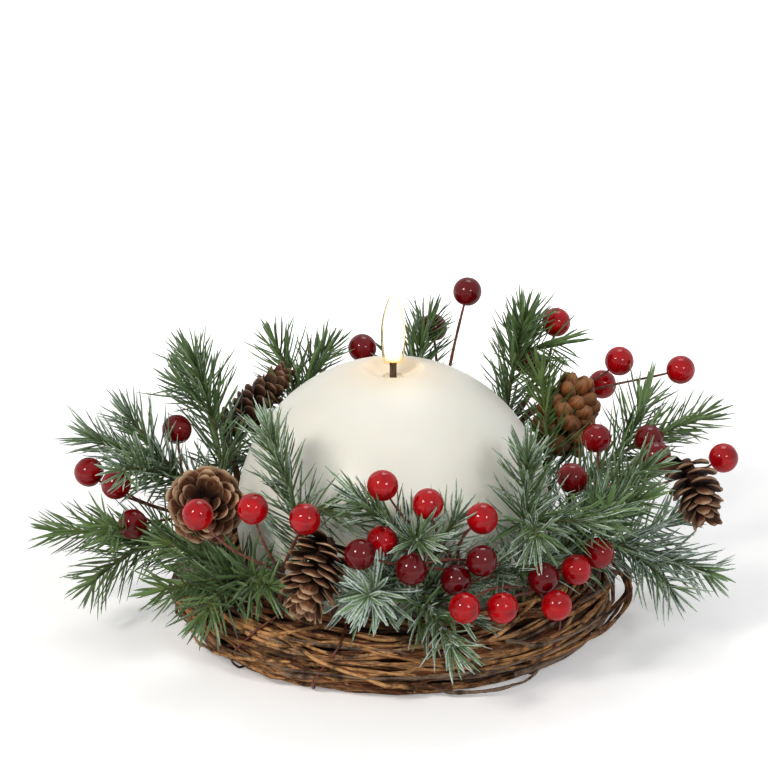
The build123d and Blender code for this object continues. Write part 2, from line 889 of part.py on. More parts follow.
def note_form(name, points, radii):
    """Keep a route as a chain of thick segments, for the gaps between pieces."""
    for i in range(len(points) - 1):
        forms.append((name, points[i], points[i + 1], max(radii[i], radii[i + 1])))


def lies_free(start, end, radius, own):
    """True where a needle keeps its gap to the candle's way out, the twigs and every form."""
    for i in range(needle_checks + 1):
        point = start + (end - start) * (i / needle_checks)
        reach = math.hypot(point.X, point.Y)
        if reach < candle_free_radius + radius or point.Z < floor_free_gap:
            return False
        to_section = math.hypot(reach - ring_radius, point.Z - section_height)
        if to_section < section_radius + winding_sway + 2 * loose_twig_radius + needle_gap:
            return False
    for name, a, b, thickness in forms:
        if name != own and segment_gap(start, end, a, b) < radius + thickness + needle_gap:
            return False
    return True


def middle_of(outline):
    """The middle of an outline's corners."""
    total = Vector(0, 0, 0)
    for corner in outline:
        total += corner
    return total / len(outline)


def facing(outline):
    """The outward direction of a flat outline."""
    return (outline[1] - outline[0]).cross(outline[2] - outline[1]).normalized()


def needle(outline, along, direction, length):
    """One needle: a three-sided foot in a flat side of the stem, run out to a point."""
    start = middle_of(outline)
    out = facing(outline)
    side = (along - out * along.dot(out)).normalized()
    return [corners(start, out, side, needle_radius, 3), [start + direction * length]]


def sprig_needles(name, route, outlines, foot_tilt, tip_tilt):
    """Needles out of the outer stem's flat sides, and one from its end, leaning to the tip."""
    needles = []
    grown = []
    bands = len(route) - 1
    for number in range(bands * 2 * stem_sides):
        band = number // (2 * stem_sides)
        share = (band - 2 + (1 + number % 2) / 3) / (bands - 2)
        if share < bare_stem_share:
            continue
        outline = outlines[number]
        start = middle_of(outline)
        along = (route[band + 1] - route[band]).normalized()
        out = start - route[band]
        out = (out - along * out.dot(along)).normalized()
        tilt = math.radians(foot_tilt + (tip_tilt - foot_tilt) * share)
        direction = (along * math.cos(tilt) + out * math.sin(tilt)).normalized()
        end = start + direction * (needle_length * (1 - needle_fall_share * share))
        clear_start = start + direction * (2 * stem_radius)
        crossing = [g for g in grown if segment_gap(clear_start, end, *g) < 2 * needle_radius]
        if not crossing and lies_free(clear_start, end, needle_radius, name):
            grown.append((clear_start, end))
            needles.append((number, needle(outline, along, direction, (end - start).length)))
    number = len(outlines) - 1
    along = (route[-1] - route[-2]).normalized()
    length = needle_length * (1 - needle_fall_share)
    if lies_free(route[-1], route[-1] + along * length, needle_radius, name):
        start = middle_of(outlines[number])
        foot = corners(start, along, (outlines[number][0] - start).normalized(), needle_radius, 3)
        needles.append((number, [foot, [start + along * length]]))
        grown.append((start, start + along * length))
    for start, end in grown:
        forms.append((name, start, end, needle_radius))
    return needles


def sprig_stem_radii():
    """A sprig's stem keeps its size in the hole and thins towards its tip."""
    return [stem_radius, stem_radius] + taper(stem_radius, stem_tip_radius, sprig_bands + 1)


def plate(middle, along, across, width, thickness):
    """The four corners of a scale's outline."""
    half = across * (width / 2)
    lift = along.cross(across) * (thickness / 2)
    return [middle + half + lift, middle - half + lift, middle - half - lift, middle + half - lift]


# A cone's heart: shares of its length and radius; and its scales, as shares of its radius
cone_heart_share = 0.42
cone_heart_shares = ((0, 0.62), (0.24, 1.0), (0.48, 0.92), (0.72, 0.66))
cone_tip_share = 0.94
cone_full_shares = (0.86, 1.0, 0.88, 0.60)
scale_lip_share = 0.80
scale_knob_share = 0.10
scale_root_share = 0.40
scale_lean_fall_share = 0.55
cone_sides = 5


def cone(base, tip, radius, tilt):
    """A seed cone: a flat-sided heart whose woody scales grow in offset rows."""
    axis = tip - base
    along = axis.normalized()
    side = any_side(along)
    rings = []
    for i, (length_share, radius_share) in enumerate(cone_heart_shares):
        turn = math.radians(-180 / cone_sides * i)
        turned_side = side * math.cos(turn) + along.cross(side) * math.sin(turn)
        heart_radius = radius * cone_heart_share * radius_share
        rings.append(corners(base + axis * length_share, along, turned_side, heart_radius, cone_sides))
    rings.append([base + axis * cone_tip_share])
    outlines = sides(rings) + ends(rings)
    scales = []
    for row, full_share in enumerate(cone_full_shares):
        lean = math.radians(tilt * (1 - scale_lean_fall_share * row / (len(cone_full_shares) - 1)))
        for i in range(cone_sides):
            last = row == len(cone_full_shares) - 1
            number = row * 2 * cone_sides + (i if last else 2 * i)
            outline = outlines[number]
            start = middle_of(outline)
            normal = facing(outline)
            out = start - base
            out = (out - along * out.dot(along)).normalized()
            across = along.cross(out)
            growth = along * math.cos(lean) + out * math.sin(lean)
            foot_width = scale_root_share * (outline[1] - outline[0]).length
            root = plate(start, normal, across, foot_width, scale_thickness)
            reach = (radius * full_share - radius * cone_heart_share) / math.sin(lean)
            width = radius * full_share * scale_lip_share
            lip = plate(start + growth * reach, growth, across, width, scale_thickness * 2)
            knob = start + growth * (reach + radius * scale_knob_share)
            scales.append((number, [root, lip, [knob]]))
    return flat_solid(outlines, scales)


# Heights and radii of a berry's outline, from its wire's end
berry_outline_shares = ((-1, 0.30), (-0.45, 0.89), (0.45, 0.89), (1, 0.30))


def berry(centre, along):
    """A round berry with a small flat where its wire ends."""
    rings = []
    for height_share, radius_share in berry_outline_shares:
        middle = centre + along * (berry_radius * height_share)
        rings.append(corners(middle, along, any_side(along), berry_radius * radius_share, berry_sides))
    return flat_sided(rings)


def pick_routes(bearing, fork_place, berry_places):
    """A berry pick's main stem, and for each berry its wire, its middle and its direction."""
    fork = crown_point(*fork_place)
    foot = rooted(bearing)
    control = around(bearing, ring_radius, (foot[2].Z + fork.Z) / 2)
    main = foot[:2] + bend(foot[2], control, fork, berry_wire_bands)
    leaving = (main[-1] - main[-2]).normalized()
    branches = []
    for bearing, reach_share, rise_share, droop in berry_places:
        centre = crown_point(bearing, reach_share, rise_share)
        control = centre * wire_lean_share + fork * (1 - wire_lean_share)
        control -= Vector(0, 0, droop * berry_radius)
        along = (centre - control).normalized()
        end = centre - along * berry_radius
        wire = bend(fork - leaving * berry_wire_radius, control, end, berry_wire_bands)
        wire[-2] = end - along * (end - wire[-2]).length
        branches.append((wire, centre, along))
    return main, branches


def pick_radii():
    """A pick's main stem keeps its size in the hole and thins towards its fork."""
    fork_radius = berry_wire_radius * fork_thick_share
    return [pick_stem_radius] * 2 + taper(pick_stem_radius, fork_radius, berry_wire_bands + 1)


def cone_places(root, bend_share, base_place, tip_place):
    """A cone's base, its tip and the route of its stem."""
    base = crown_point(*base_place)
    tip = crown_point(*tip_place)
    return base, tip, stem_route(root, bend_share, base + (tip - base).normalized())


picks = {letter: pick_routes(*places) for letter, places in pick_shares.items()}
for letter, (main, branches) in picks.items():
    note_form(f"berry_stems_{letter}", main[1:], pick_radii()[1:])
    for wire, centre, along in branches:
        note_form(f"berry_stems_{letter}", wire, [berry_wire_radius] * len(wire))
        note_form(f"berries_{letter}", [centre, centre], [berry_radius] * 2)

for name, places in cone_shares.items():
    radius = places[4]
    base, tip, route = cone_places(*places[:4])
    along = (tip - base).normalized()
    note_form(name, route, [stem_radius] * len(route))
    note_form(name, [base + along * (radius * 0.5), tip - along * (radius * 0.4)], [radius] * 2)

sprig_routes = {}
for name, (root, bend_share, tip_place, *needle_places) in sprig_shares.items():
    sprig_routes[name] = stem_route(root, bend_share, crown_point(*tip_place), sprig_bands)
    note_form(name, sprig_routes[name], sprig_stem_radii())


save("wax_shell", wax_shell())
save("base_plate", base_plate())
save("battery_door", battery_door())
save("batteries", batteries())
save("battery_contacts", battery_contacts())
save("battery_case", battery_case())
save("base_screws", base_screws())
save("power_switch", power_switch())
save("circuit_board", circuit_board())
save("flame_post", flame_post())
save("wick", wick())
save("flame_shell", flame_shell())
save("led", led())
save("led_leads", led_leads())

save("twig_core", twig_core())
table = Pos(0, 0, -overrun) * Cylinder(2 * ring_radius, 2 * overrun)
foot_twigs = wound_twigs(foot_first, foot_last) - table
save("bottom_twigs", foot_twigs - binding_grooves())
save("outer_twigs", wound_twigs(0, foot_first - 2))
save("inner_twigs", wound_twigs(foot_last + 2, last_station))
save("wrapping_twigs", wrapping_twigs())
save("binding_wires", binding_wires())
print("least gap between turns", 2 * twig_winding * math.sin(math.radians(turn_step / 2)) - 2 * twig_radius)

for letter, (main, branches) in picks.items():
    stem = rod(main, pick_radii(), stem_sides)
    wires = [rod(wire, [berry_wire_radius] * len(wire), stem_sides) for wire, centre, along in branches]
    save(f"berry_stems_{letter}", stem.fuse(*wires))
    save(f"berries_{letter}", Compound(children=[berry(centre, along) for wire, centre, along in branches]))

for name, places in cone_shares.items():
    base, tip, route = cone_places(*places[:4])
    save(name, cone(base, tip, *places[4:]).fuse(rod(route, [stem_radius] * len(route), stem_sides)))

needle_total = 0
for name, route in sprig_routes.items():
    rings = rod_rings(route, sprig_stem_radii(), stem_sides)
    outlines = sides(rings) + ends(rings)
    needles = sprig_needles(name, route, outlines, *sprig_shares[name][3:])
    needle_total += len(needles)
    save(name, flat_solid(outlines, needles))
print("needles", needle_total)
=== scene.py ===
"""Looks of a candle ring: bark, pine, cones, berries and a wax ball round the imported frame.

Lengths in the tables are millimetres, and bearings are degrees round the candle from +X.
"""

import math

import bmesh
import bpy
import numpy as np
from bpy.props import FloatProperty, FloatVectorProperty, IntProperty, PointerProperty
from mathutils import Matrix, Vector


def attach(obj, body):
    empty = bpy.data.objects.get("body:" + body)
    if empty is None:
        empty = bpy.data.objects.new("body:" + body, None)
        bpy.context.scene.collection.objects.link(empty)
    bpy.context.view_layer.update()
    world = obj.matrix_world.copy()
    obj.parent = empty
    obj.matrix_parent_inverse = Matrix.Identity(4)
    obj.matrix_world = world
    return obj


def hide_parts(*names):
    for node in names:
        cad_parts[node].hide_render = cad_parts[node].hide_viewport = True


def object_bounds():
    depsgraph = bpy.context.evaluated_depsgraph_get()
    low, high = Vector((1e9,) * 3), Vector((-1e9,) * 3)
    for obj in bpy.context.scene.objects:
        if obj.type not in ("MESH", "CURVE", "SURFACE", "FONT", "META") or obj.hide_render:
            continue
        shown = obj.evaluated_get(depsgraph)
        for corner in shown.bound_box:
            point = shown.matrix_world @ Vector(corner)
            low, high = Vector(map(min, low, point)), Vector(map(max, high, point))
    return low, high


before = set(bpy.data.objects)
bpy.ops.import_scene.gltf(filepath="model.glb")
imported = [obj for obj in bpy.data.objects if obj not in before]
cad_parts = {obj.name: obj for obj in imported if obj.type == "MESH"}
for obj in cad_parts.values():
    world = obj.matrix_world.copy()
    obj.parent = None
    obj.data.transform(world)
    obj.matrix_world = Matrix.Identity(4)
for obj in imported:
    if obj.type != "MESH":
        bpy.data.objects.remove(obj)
CAD_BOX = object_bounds()

bl_info = {
    "name": "Candle ring",
    "version": (1, 0, 0),
    "blender": (4, 2, 0),
    "location": "View3D > Sidebar > Candle ring",
    "description": "Builds the looks of a twig ring with pine, cones, berries and an LED candle",
    "category": "Add Mesh",
}

MM = 0.001
SEED = 41
GOLDEN_TURN = math.radians(137.508)
ODD_WAY = (0.2, 0.3, 1.0)
STEM_HINT = (0.3, 0.5, 1.0)


# Colours and sizes

def linear(code):
    """An sRGB hex colour as linear red, green, blue and alpha."""
    shares = [int(code[i : i + 2], 16) / 255 for i in (1, 3, 5)]
    return tuple(s / 12.92 if s <= 0.04045 else ((s + 0.055) / 1.055) ** 2.4 for s in shares) + (1.0,)


def colour(name, code, description):
    """A colour that a user may change."""
    return FloatVectorProperty(
        name=name, description=description, subtype="COLOR", size=4, min=0, max=1, default=linear(code)
    )


def length(name, size, description):
    """A length that a user may change, from millimetres."""
    return FloatProperty(
        name=name, description=description, default=size * MM, min=0, unit="LENGTH", subtype="DISTANCE"
    )


class CandleSettings(bpy.types.PropertyGroup):
    """The wax ball and its flame."""

    ball_radius: length("Ball radius", 62.5, "Radius of the wax ball")
    dip_radius: length("Dip radius", 11.9, "Radius of the dip round the wick")
    flame_radius: length("Flame radius", 4.85, "Widest radius of the flame")
    wax: colour("Wax", "#efeee3", "Ivory paraffin wax")
    # Painted light: the warm colour laid on the wax round the wick, as if the flame lit it from inside.
    painted_wax_glow: colour("Wax glow", "#f2e3cb", "Wax that the lamp lights from inside")
    flame_core: colour("Flame core", "#fffaf0", "The lit filament wall inside the diffuser")
    flame_foot: colour("Flame foot", "#ffe2a6", "The lit wall near the wick")
    flame_skin: colour("Flame skin", "#f8deab", "The clear amber skin of the diffuser")
    wick: colour("Wick", "#3a2a1e", "Dark moulded sleeve")


class RingSettings(bpy.types.PropertyGroup):
    """The twig ring and its binding wires."""

    ring_radius: length("Ring radius", 72.55, "Radius of the middle of the twig bundle")
    section_radius: length("Bundle radius", 14.4, "Radius of the twig bundle")
    section_height: length("Bundle height", 13.58, "Height of the middle of the bundle")
    twig_radius: length("Twig radius", 0.98, "Mean radius of a twig")
    wire_radius: length("Wire radius", 0.5, "Radius of a binding wire")
    bark_light: colour("Light bark", "#dda56c", "Peeled, golden vine")
    bark_mid: colour("Brown bark", "#6f4024", "Dry vine bark")
    # Also laid as painted shade on the twigs deep in the bundle's gaps.
    bark_dark: colour("Dark bark", "#26160f", "Knots and the gaps of the bundle")
    bark_grey: colour("Grey bark", "#8d7c69", "Weathered outer bark")
    copper: colour("Wire", "#6f3324", "Browned binding wire")


class PineSettings(bpy.types.PropertyGroup):
    """The pine sprigs and the cones."""

    needle_length: length("Needle length", 19.5, "Mean length of a needle")
    needle_width: length("Needle width", 1.14, "Width of a needle at its middle")
    needles_per_centimetre: IntProperty(
        name="Needles per cm", description="Needles on each centimetre of a shoot", default=23, min=1
    )
    green_deep: colour("Deep green", "#20391f", "The shaded, older needles")
    green_mid: colour("Green", "#6c8b54", "The open needles")
    green_young: colour("Young green", "#97ac62", "New growth and shoots")
    frost: colour("Frost", "#d6e4de", "Powdered edges of the needles")
    scale_dark: colour("Cone heart", "#20120e", "The shaded foot of a cone scale")
    scale_brown: colour("Cone scale", "#7b5039", "The open face of a cone scale")
    scale_warm: colour("Closed scale", "#9c5b2c", "The knobs of a closed cone")
    scale_lip: colour("Scale lip", "#d8b894", "The worn edge of a cone scale")


class BerrySettings(bpy.types.PropertyGroup):
    """The berries and their wrapped wires."""

    berry_radius: length("Berry radius", 6.0, "Radius of a berry")
    red: colour("Red", "#d60b1e", "Bright red lacquer")
    burgundy: colour("Burgundy", "#680418", "Dark red lacquer")
    paper: colour("Wrap", "#6a3328", "Paper tape round the wires")
    paper_dark: colour("Wrap shade", "#35201b", "The tape's overlaps")


# Shapes: each is worked out as whole arrays in millimetres

def around(bearing, reach, height):
    """Points at bearings round the candle."""
    turn = np.radians(bearing)
    return np.stack([reach * np.cos(turn), reach * np.sin(turn), height + 0 * turn], -1)


def unit(v):
    """Vectors divided by their lengths."""
    return v / np.maximum(np.linalg.norm(v, axis=-1, keepdims=True), 1e-9)


def across(along):
    """Two directions square to a line and to each other."""
    side = unit(np.cross(along, ODD_WAY))
    return side, np.cross(along, side)


def golden_ways(rng, along, count, jitter):
    """Directions out of a line, a golden angle apart, with a little jitter."""
    side, other = across(along)
    turn = (np.arange(count) * GOLDEN_TURN + rng.normal(0, jitter, count))[:, None]
    return side * np.cos(turn) + other * np.sin(turn)


def curve(control, count):
    """A Bezier curve through 3 or 4 control points: binomial weights times the points."""
    degree = len(control) - 1
    share = np.linspace(0, 1, count)[:, None]
    weights = [math.comb(degree, i) * share**i * (1 - share) ** (degree - i) for i in range(degree + 1)]
    return sum(weight * np.asarray(point) for weight, point in zip(weights, control))


def smooth_rows(rows, count):
    """More rows on the same outline, by a cubic through evenly counted places."""
    rows = np.asarray(rows, float)
    place = np.linspace(0, len(rows) - 1, count)
    low = np.minimum(place.astype(int), len(rows) - 2)
    u = (place - low)[:, None]
    padded = np.concatenate([2 * rows[:1] - rows[1:2], rows, 2 * rows[-1:] - rows[-2:-1]])
    a, b, c, d = (padded[low + i] for i in range(4))
    return 0.5 * (2 * b + (c - a) * u + (2 * a - 5 * b + 4 * c - d) * u**2 + (3 * b - a - 3 * c + d) * u**3)


def sweep(paths, wide, thick, corners, hint, cup=0.0):
    """Closed tubes along paths: an ellipse of half-width and half-thickness at each station,
    in the plane square to the path, whose width lies across the path and the hint.

    paths is (tubes, stations, 3), and wide and thick are (tubes, stations).
    """
    along = unit(np.gradient(paths, axis=1))
    side = unit(np.cross(along, hint))
    lift = np.cross(side, along)
    turn = 2 * np.pi * np.arange(corners) / corners
    reach = wide[..., None] * np.cos(turn)
    rise = thick[..., None] * np.sin(turn) + cup * wide[..., None] * np.cos(turn) ** 2
    points = paths[:, :, None] + side[:, :, None] * reach[..., None] + lift[:, :, None] * rise[..., None]
    index = np.arange(reach.size).reshape(reach.shape)
    beside = np.roll(index, -1, axis=2)
    quads = np.stack([index[:, 1:], beside[:, 1:], beside[:, :-1], index[:, :-1]], -1).reshape(-1, 4)
    return points.reshape(-1, 3), [quads, index[:, 0], index[:, -1, ::-1]]


def rod(path, wide, corners, hint=STEM_HINT, flatness=1.0):
    """One closed tube along a path."""
    return sweep(path[None], wide[None], wide[None] * flatness, corners, hint)


def lathe(profile, count):
    """A surface turned about Z: (radius, height) pairs, with a single point where the radius is 0."""
    turn = 2 * np.pi * np.arange(count) / count
    points = []
    rows = []
    start = 0
    for radius, height in np.asarray(profile, float):
        part = turn if radius > 0 else turn[:1]
        points.append(np.stack([radius * np.cos(part), radius * np.sin(part), height + 0 * part], -1))
        rows.append(start + np.arange(len(part)))
        start += len(part)
    quads = []
    triangles = []
    for low, high in zip(rows, rows[1:]):
        if len(low) == 1:
            triangles.append(np.stack([low.repeat(count), np.roll(high, -1), high], -1))
        elif len(high) == 1:
            triangles.append(np.stack([low, np.roll(low, -1), high.repeat(count)], -1))
        else:
            quads.append(np.stack([low, np.roll(low, -1), np.roll(high, -1), high], -1))
    return np.concatenate(points), [np.concatenate(faces) for faces in (quads, triangles) if faces]


def join(parts):
    """Several (points, faces) as one."""
    starts = np.cumsum([0] + [len(points) for points, _ in parts])
    faces = [face + start for start, (_, own) in zip(starts, parts) for face in own]
    return np.concatenate([points for points, _ in parts]), faces


def piece(name, points, faces, material, values=None, smooth=True, uv=None):
    """A mesh object from points in millimetres, arrays of faces and values at its points."""
    mesh = bpy.data.meshes.new(name)
    loops = np.concatenate([face.ravel() for face in faces]).astype(np.int32)
    totals = np.concatenate([np.full(len(face), face.shape[1]) for face in faces]).astype(np.int32)
    mesh.vertices.add(len(points))
    mesh.vertices.foreach_set("co", (points * MM).astype(np.float32).ravel())
    mesh.loops.add(len(loops))
    mesh.loops.foreach_set("vertex_index", loops)
    mesh.polygons.add(len(totals))
    mesh.polygons.foreach_set("loop_start", (np.cumsum(totals) - totals).astype(np.int32))
    mesh.polygons.foreach_set("loop_total", totals)
    mesh.update(calc_edges=True)
    mesh.validate()
    for key, value in (values or {}).items():
        layer = mesh.attributes.new(key, "FLOAT", "POINT")
        layer.data.foreach_set("value", value.astype(np.float32))
    if uv is not None:
        mesh.uv_layers.new(name="Surface").data.foreach_set("uv", uv[loops].astype(np.float32).ravel())
    mesh.polygons.foreach_set("use_smooth", np.full(len(totals), smooth))
    obj = bpy.data.objects.new(name, mesh)
    bpy.context.collection.objects.link(obj)
    mesh.materials.append(material)
    return obj


def weld(obj):
    """Merge the doubled seam of a closed profile and set its faces outwards."""
    bm = bmesh.new()
    bm.from_mesh(obj.data)
    bmesh.ops.remove_doubles(bm, verts=bm.verts, dist=0.01 * MM)
    bmesh.ops.recalc_face_normals(bm, faces=bm.faces)
    bm.to_mesh(obj.data)
    bm.free()


# Materials

def put(socket, source):
    """Link an output to a socket, or set the socket's own value."""
    if hasattr(source, "is_output"):
        socket.id_data.links.new(source, socket)
    else:
        socket.default_value = source


def add(tree, kind, *sources, **settings):
    """Add a node with its properties, and put (input, source) pairs into it."""
    node = tree.nodes.new(kind)
    for key, value in settings.items():
        setattr(node, key, value)
    for name, source in sources:
        put(node.inputs[name], source)
    return node


def plug(shader, **sockets):
    """Put values or outputs into a shader's own sockets, named with _ for a space."""
    for name, source in sockets.items():
        put(shader.inputs[name.replace("_", " ")], source)


def surface(name, **sockets):
    """A new material, its nodes and its shader, with values on the shader's own sockets."""
    material = bpy.data.materials.new(name)
    material.use_nodes = True
    shader = material.node_tree.nodes["Principled BSDF"]
    plug(shader, **sockets)
    return material, material.node_tree, shader


def maths(tree, operation, *values):
    """Values added, multiplied or the like."""
    return add(tree, "ShaderNodeMath", *enumerate(values), operation=operation).outputs[0]


def mapped(tree, value, before, after, kind="LINEAR"):
    """A value from one range carried to another."""
    ends = zip(("From Min", "From Max", "To Min", "To Max"), (*before, *after))
    return add(tree, "ShaderNodeMapRange", ("Value", value), *ends, interpolation_type=kind).outputs[0]


def mixed(tree, factor, first, second):
    """One colour mixed with another."""
    return add(tree, "ShaderNodeMix", (0, factor), (6, first), (7, second), data_type="RGBA").outputs[2]


def ramp(tree, source, *stops):
    """A value through evenly blended stops of (place, level)."""
    node = add(tree, "ShaderNodeValToRGB", ("Fac", source))
    elements = node.color_ramp.elements
    elements[0].position = stops[0][0]
    elements[-1].position = stops[-1][0]
    for place, _ in stops[1:-1]:
        elements.new(place)
    for element, (_, level) in zip(elements, stops):
        element.color = (level, level, level, 1)
    return node.outputs["Color"]


def blend(tree, first, second, source, *stops):
    """One colour laid over another, as far as a value's stops of (place, level) let it."""
    return mixed(tree, ramp(tree, source, *stops), first, second)


def object_place(tree):
    """Places on the object, in metres."""
    return add(tree, "ShaderNodeTexCoord").outputs["Object"]


def uv_place(tree):
    """Places along and round a strand, from the mesh's own UV."""
    return add(tree, "ShaderNodeUVMap", uv_map="Surface").outputs[0]


def noise(tree, scale, detail=3.0, roughness=0.5, stretch=(1, 1, 1), place=None):
    """Noise on Object coordinates in cells a metre, or on another place, stretched along an axis."""
    place = object_place(tree) if place is None else place
    mapping = add(tree, "ShaderNodeMapping", ("Vector", place), ("Scale", stretch))
    sources = [("Vector", mapping.outputs[0]), ("Scale", scale), ("Detail", detail), ("Roughness", roughness)]
    return add(tree, "ShaderNodeTexNoise", *sources).outputs["Fac"]


def value_at(tree, name):
    """A value that the mesh holds at its points."""
    return add(tree, "ShaderNodeAttribute", attribute_name=name).outputs["Fac"]


def finish(shader, tone, height, depth, strength=1.0):
    """Give a shader its colour, and roughen it by a height map, to a depth in metres."""
    sources = [("Height", height), ("Distance", depth), ("Strength", strength)]
    bump = add(shader.id_data, "ShaderNodeBump", *sources)
    plug(shader, Base_Color=tone, Normal=bump.outputs[0])


# The candle

CANDLE_MIDDLE = 44.585
DIP_RIM = 105.94
WICK_FOOT = 101.94
WICK_TOP = 108.34
WICK_BOTTOM = 95.94
WICK_BORE = 0.95
WICK_SIDES = 40
WICK_OUTSIDE = [
    # radius and height of the sleeve, a little uneven like a real wick
    (WICK_BORE, WICK_BOTTOM), (1.4, WICK_BOTTOM), (1.42, WICK_FOOT), (1.36, WICK_FOOT + 2.2),
    (1.4, WICK_FOOT + 4.4), (1.34, WICK_TOP - 0.3), (1.2, WICK_TOP),
]
FLAME_FOOT = 107.74
FLAME_LENGTH = 30.7
FLAME_WALL_INSET = 1.3
FLAME_WALL_SHARE = 0.76
FLAME_ROWS = 61
FLAME_SIDES = 64
BALL_SIDES = 160
CANDLE_BASE_RADIUS = 43.8
FOOT_ROUND = 1.0
FOOT_BULGE = 0.6
FOOT_TURN = 0.035
FOOT_ROWS = 6
RIM_INSET = 0.5
RIM_TURN = 0.009
RIM_ROWS = 9
OUTSIDE_ROWS = 96
DIP_ROWS = 14
HOLLOW_ROWS = 32
WAX_WALL = 8.0
POCKET_RADIUS = 40.1
POCKET_TOP = 24.3
LEDGE_TOP = 27.6
LEDGE_RADIUS = 37.1
POST_HOLE_RADIUS = 3.7
FLAME_SHARES = [
    # radius and height as shares, from the wick to the tip
    (0.0, 0.0), (0.48, 0.0), (0.70, 0.005), (0.81, 0.03), (0.88, 0.09), (0.94, 0.17),
    (0.985, 0.27), (1.0, 0.37), (0.98, 0.47), (0.91, 0.57), (0.79, 0.67), (0.62, 0.76),
    (0.43, 0.85), (0.25, 0.925), (0.10, 0.975), (0.0, 1.0),
]


def arc(radius, turns):
    """Points of the ball's section, from angles off the upright."""
    return np.stack([radius * np.sin(turns), CANDLE_MIDDLE + radius * np.cos(turns)], 1)


def wax_profile(ball_radius, dip_radius):
    """The ball's section: foot, outside arc, rounded rim, dip, post hole and hollow inside."""
    foot_turn = math.pi - math.asin(CANDLE_BASE_RADIUS / ball_radius)
    rim_turn = math.asin(dip_radius / ball_radius)
    outside = arc(ball_radius, np.linspace(foot_turn - FOOT_TURN, rim_turn + RIM_TURN, OUTSIDE_ROWS))
    inner_foot = (CANDLE_BASE_RADIUS - FOOT_ROUND, 0)
    foot = curve([inner_foot, (CANDLE_BASE_RADIUS + FOOT_BULGE, 0), outside[0]], FOOT_ROWS)[:-1]
    depth = DIP_RIM - WICK_FOOT
    dip_ball = (dip_radius**2 + depth**2) / (2 * depth)
    radii = np.linspace(dip_radius - RIM_INSET, POST_HOLE_RADIUS, DIP_ROWS)
    dip = np.stack([radii, WICK_FOOT + dip_ball - np.sqrt(dip_ball**2 - radii**2)], 1)
    rim = curve([outside[-1], (dip_radius + 0.2, DIP_RIM - 0.1), dip[0]], RIM_ROWS)[1:-1]
    inner = ball_radius - WAX_WALL
    top_turn = math.asin(POST_HOLE_RADIUS / inner)
    ledge_turn = math.acos((LEDGE_TOP - CANDLE_MIDDLE) / inner)
    hollow = arc(inner, np.linspace(top_turn, ledge_turn, HOLLOW_ROWS))
    ledge = [(LEDGE_RADIUS, LEDGE_TOP), (LEDGE_RADIUS, POCKET_TOP)]
    pocket = [(POCKET_RADIUS, POCKET_TOP), (POCKET_RADIUS, 0), inner_foot]
    return np.concatenate([foot, outside, rim, dip, hollow, ledge, pocket])


def wax_material(settings):
    """Cast paraffin wax: soft light goes a few millimetres in, and a painted glow, warm with a faint
    emission, lies on the wax round the wick as if the flame lit it.
    """
    material, tree, shader = surface(
        "cast ivory wax", Roughness=0.42, IOR=1.44, Subsurface_Weight=0.35, Subsurface_Scale=0.006,
        Subsurface_Radius=(1.0, 0.75, 0.5), Coat_Weight=0.12, Coat_Roughness=0.3,
    )
    tone = blend(tree, settings.wax, linear("#e4e0d2"), noise(tree, 28, 2.0), (0.35, 0.0), (0.75, 0.45))
    lamp = (0, 0, WICK_TOP * MM)
    away = add(tree, "ShaderNodeVectorMath", (0, object_place(tree)), (1, lamp), operation="DISTANCE")
    # Painted light: within a few centimetres of the wick the wax is tinted warm and given a faint glow, as if
    # the flame lit it.
    near = mapped(tree, away.outputs["Value"], (0.005, 0.034), (1.0, 0.0), "SMOOTHERSTEP")
    plug(shader, Emission_Color=settings.painted_wax_glow, Emission_Strength=maths(tree, "MULTIPLY", near, 0.02))
    finish(shader, mixed(tree, near, tone, settings.painted_wax_glow), noise(tree, 900, 2.0), 0.00004, 0.35)
    return material


def flame_skin_material(settings):
    """Clear amber skin of the diffuser: seen through in the middle, tinted where it turns away."""
    material, tree, shader = surface(
        "clear amber diffuser skin", Roughness=0.05, IOR=1.03, Transmission_Weight=1.0
    )
    facing = add(tree, "ShaderNodeLayerWeight").outputs["Facing"]
    tone = blend(tree, settings.flame_core, settings.flame_skin, facing, (0.20, 0.0), (0.62, 1.0))
    plug(shader, Base_Color=tone)
    return material


def flame_wall_material(settings):
    """Lit frosted wall inside the skin: white-hot to the eye, and amber at its foot and tip."""
    material, tree, shader = surface("lit frosted wall", Roughness=0.6, Emission_Strength=1.15)
    height = add(tree, "ShaderNodeSeparateXYZ", ("Vector", object_place(tree))).outputs["Z"]
    share = mapped(tree, height, (FLAME_FOOT * MM, (FLAME_FOOT + FLAME_LENGTH) * MM), (0.0, 1.0))
    stops = [(0.05, 0.0), (0.30, 1.0), (0.75, 1.0), (1.0, 0.3)]
    tone = blend(tree, settings.flame_foot, settings.flame_core, share, *stops)
    plug(shader, Base_Color=tone, Emission_Color=tone)
    return material


def wick_material(settings):
    """Dark moulded sleeve: dull and finely grained, like a burnt wick."""
    material, tree, shader = surface("dark moulded wick sleeve", Roughness=0.7)
    grain = noise(tree, 1500, 2.0, stretch=(1, 1, 0.3))
    tone = blend(tree, settings.wick, linear("#5d4630"), grain, (0.3, 0.0), (0.7, 1.0))
    finish(shader, tone, grain, 0.0001)
    return material


class RING_OT_wax_ball(bpy.types.Operator):
    """Turn the wax ball with its flat foot, its dip and its hollow"""

    bl_idname = "ring.wax_ball"
    bl_label = "Wax ball"

    def execute(self, context):
        settings = context.scene.ring_candle
        profile = wax_profile(settings.ball_radius / MM, settings.dip_radius / MM)
        points, faces = lathe(np.concatenate([profile, profile[:1]]), BALL_SIDES)
        obj = piece("wax_ball", points, faces, wax_material(settings))
        weld(obj)
        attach(obj, "candle")
        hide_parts("wax_shell")
        return {"FINISHED"}


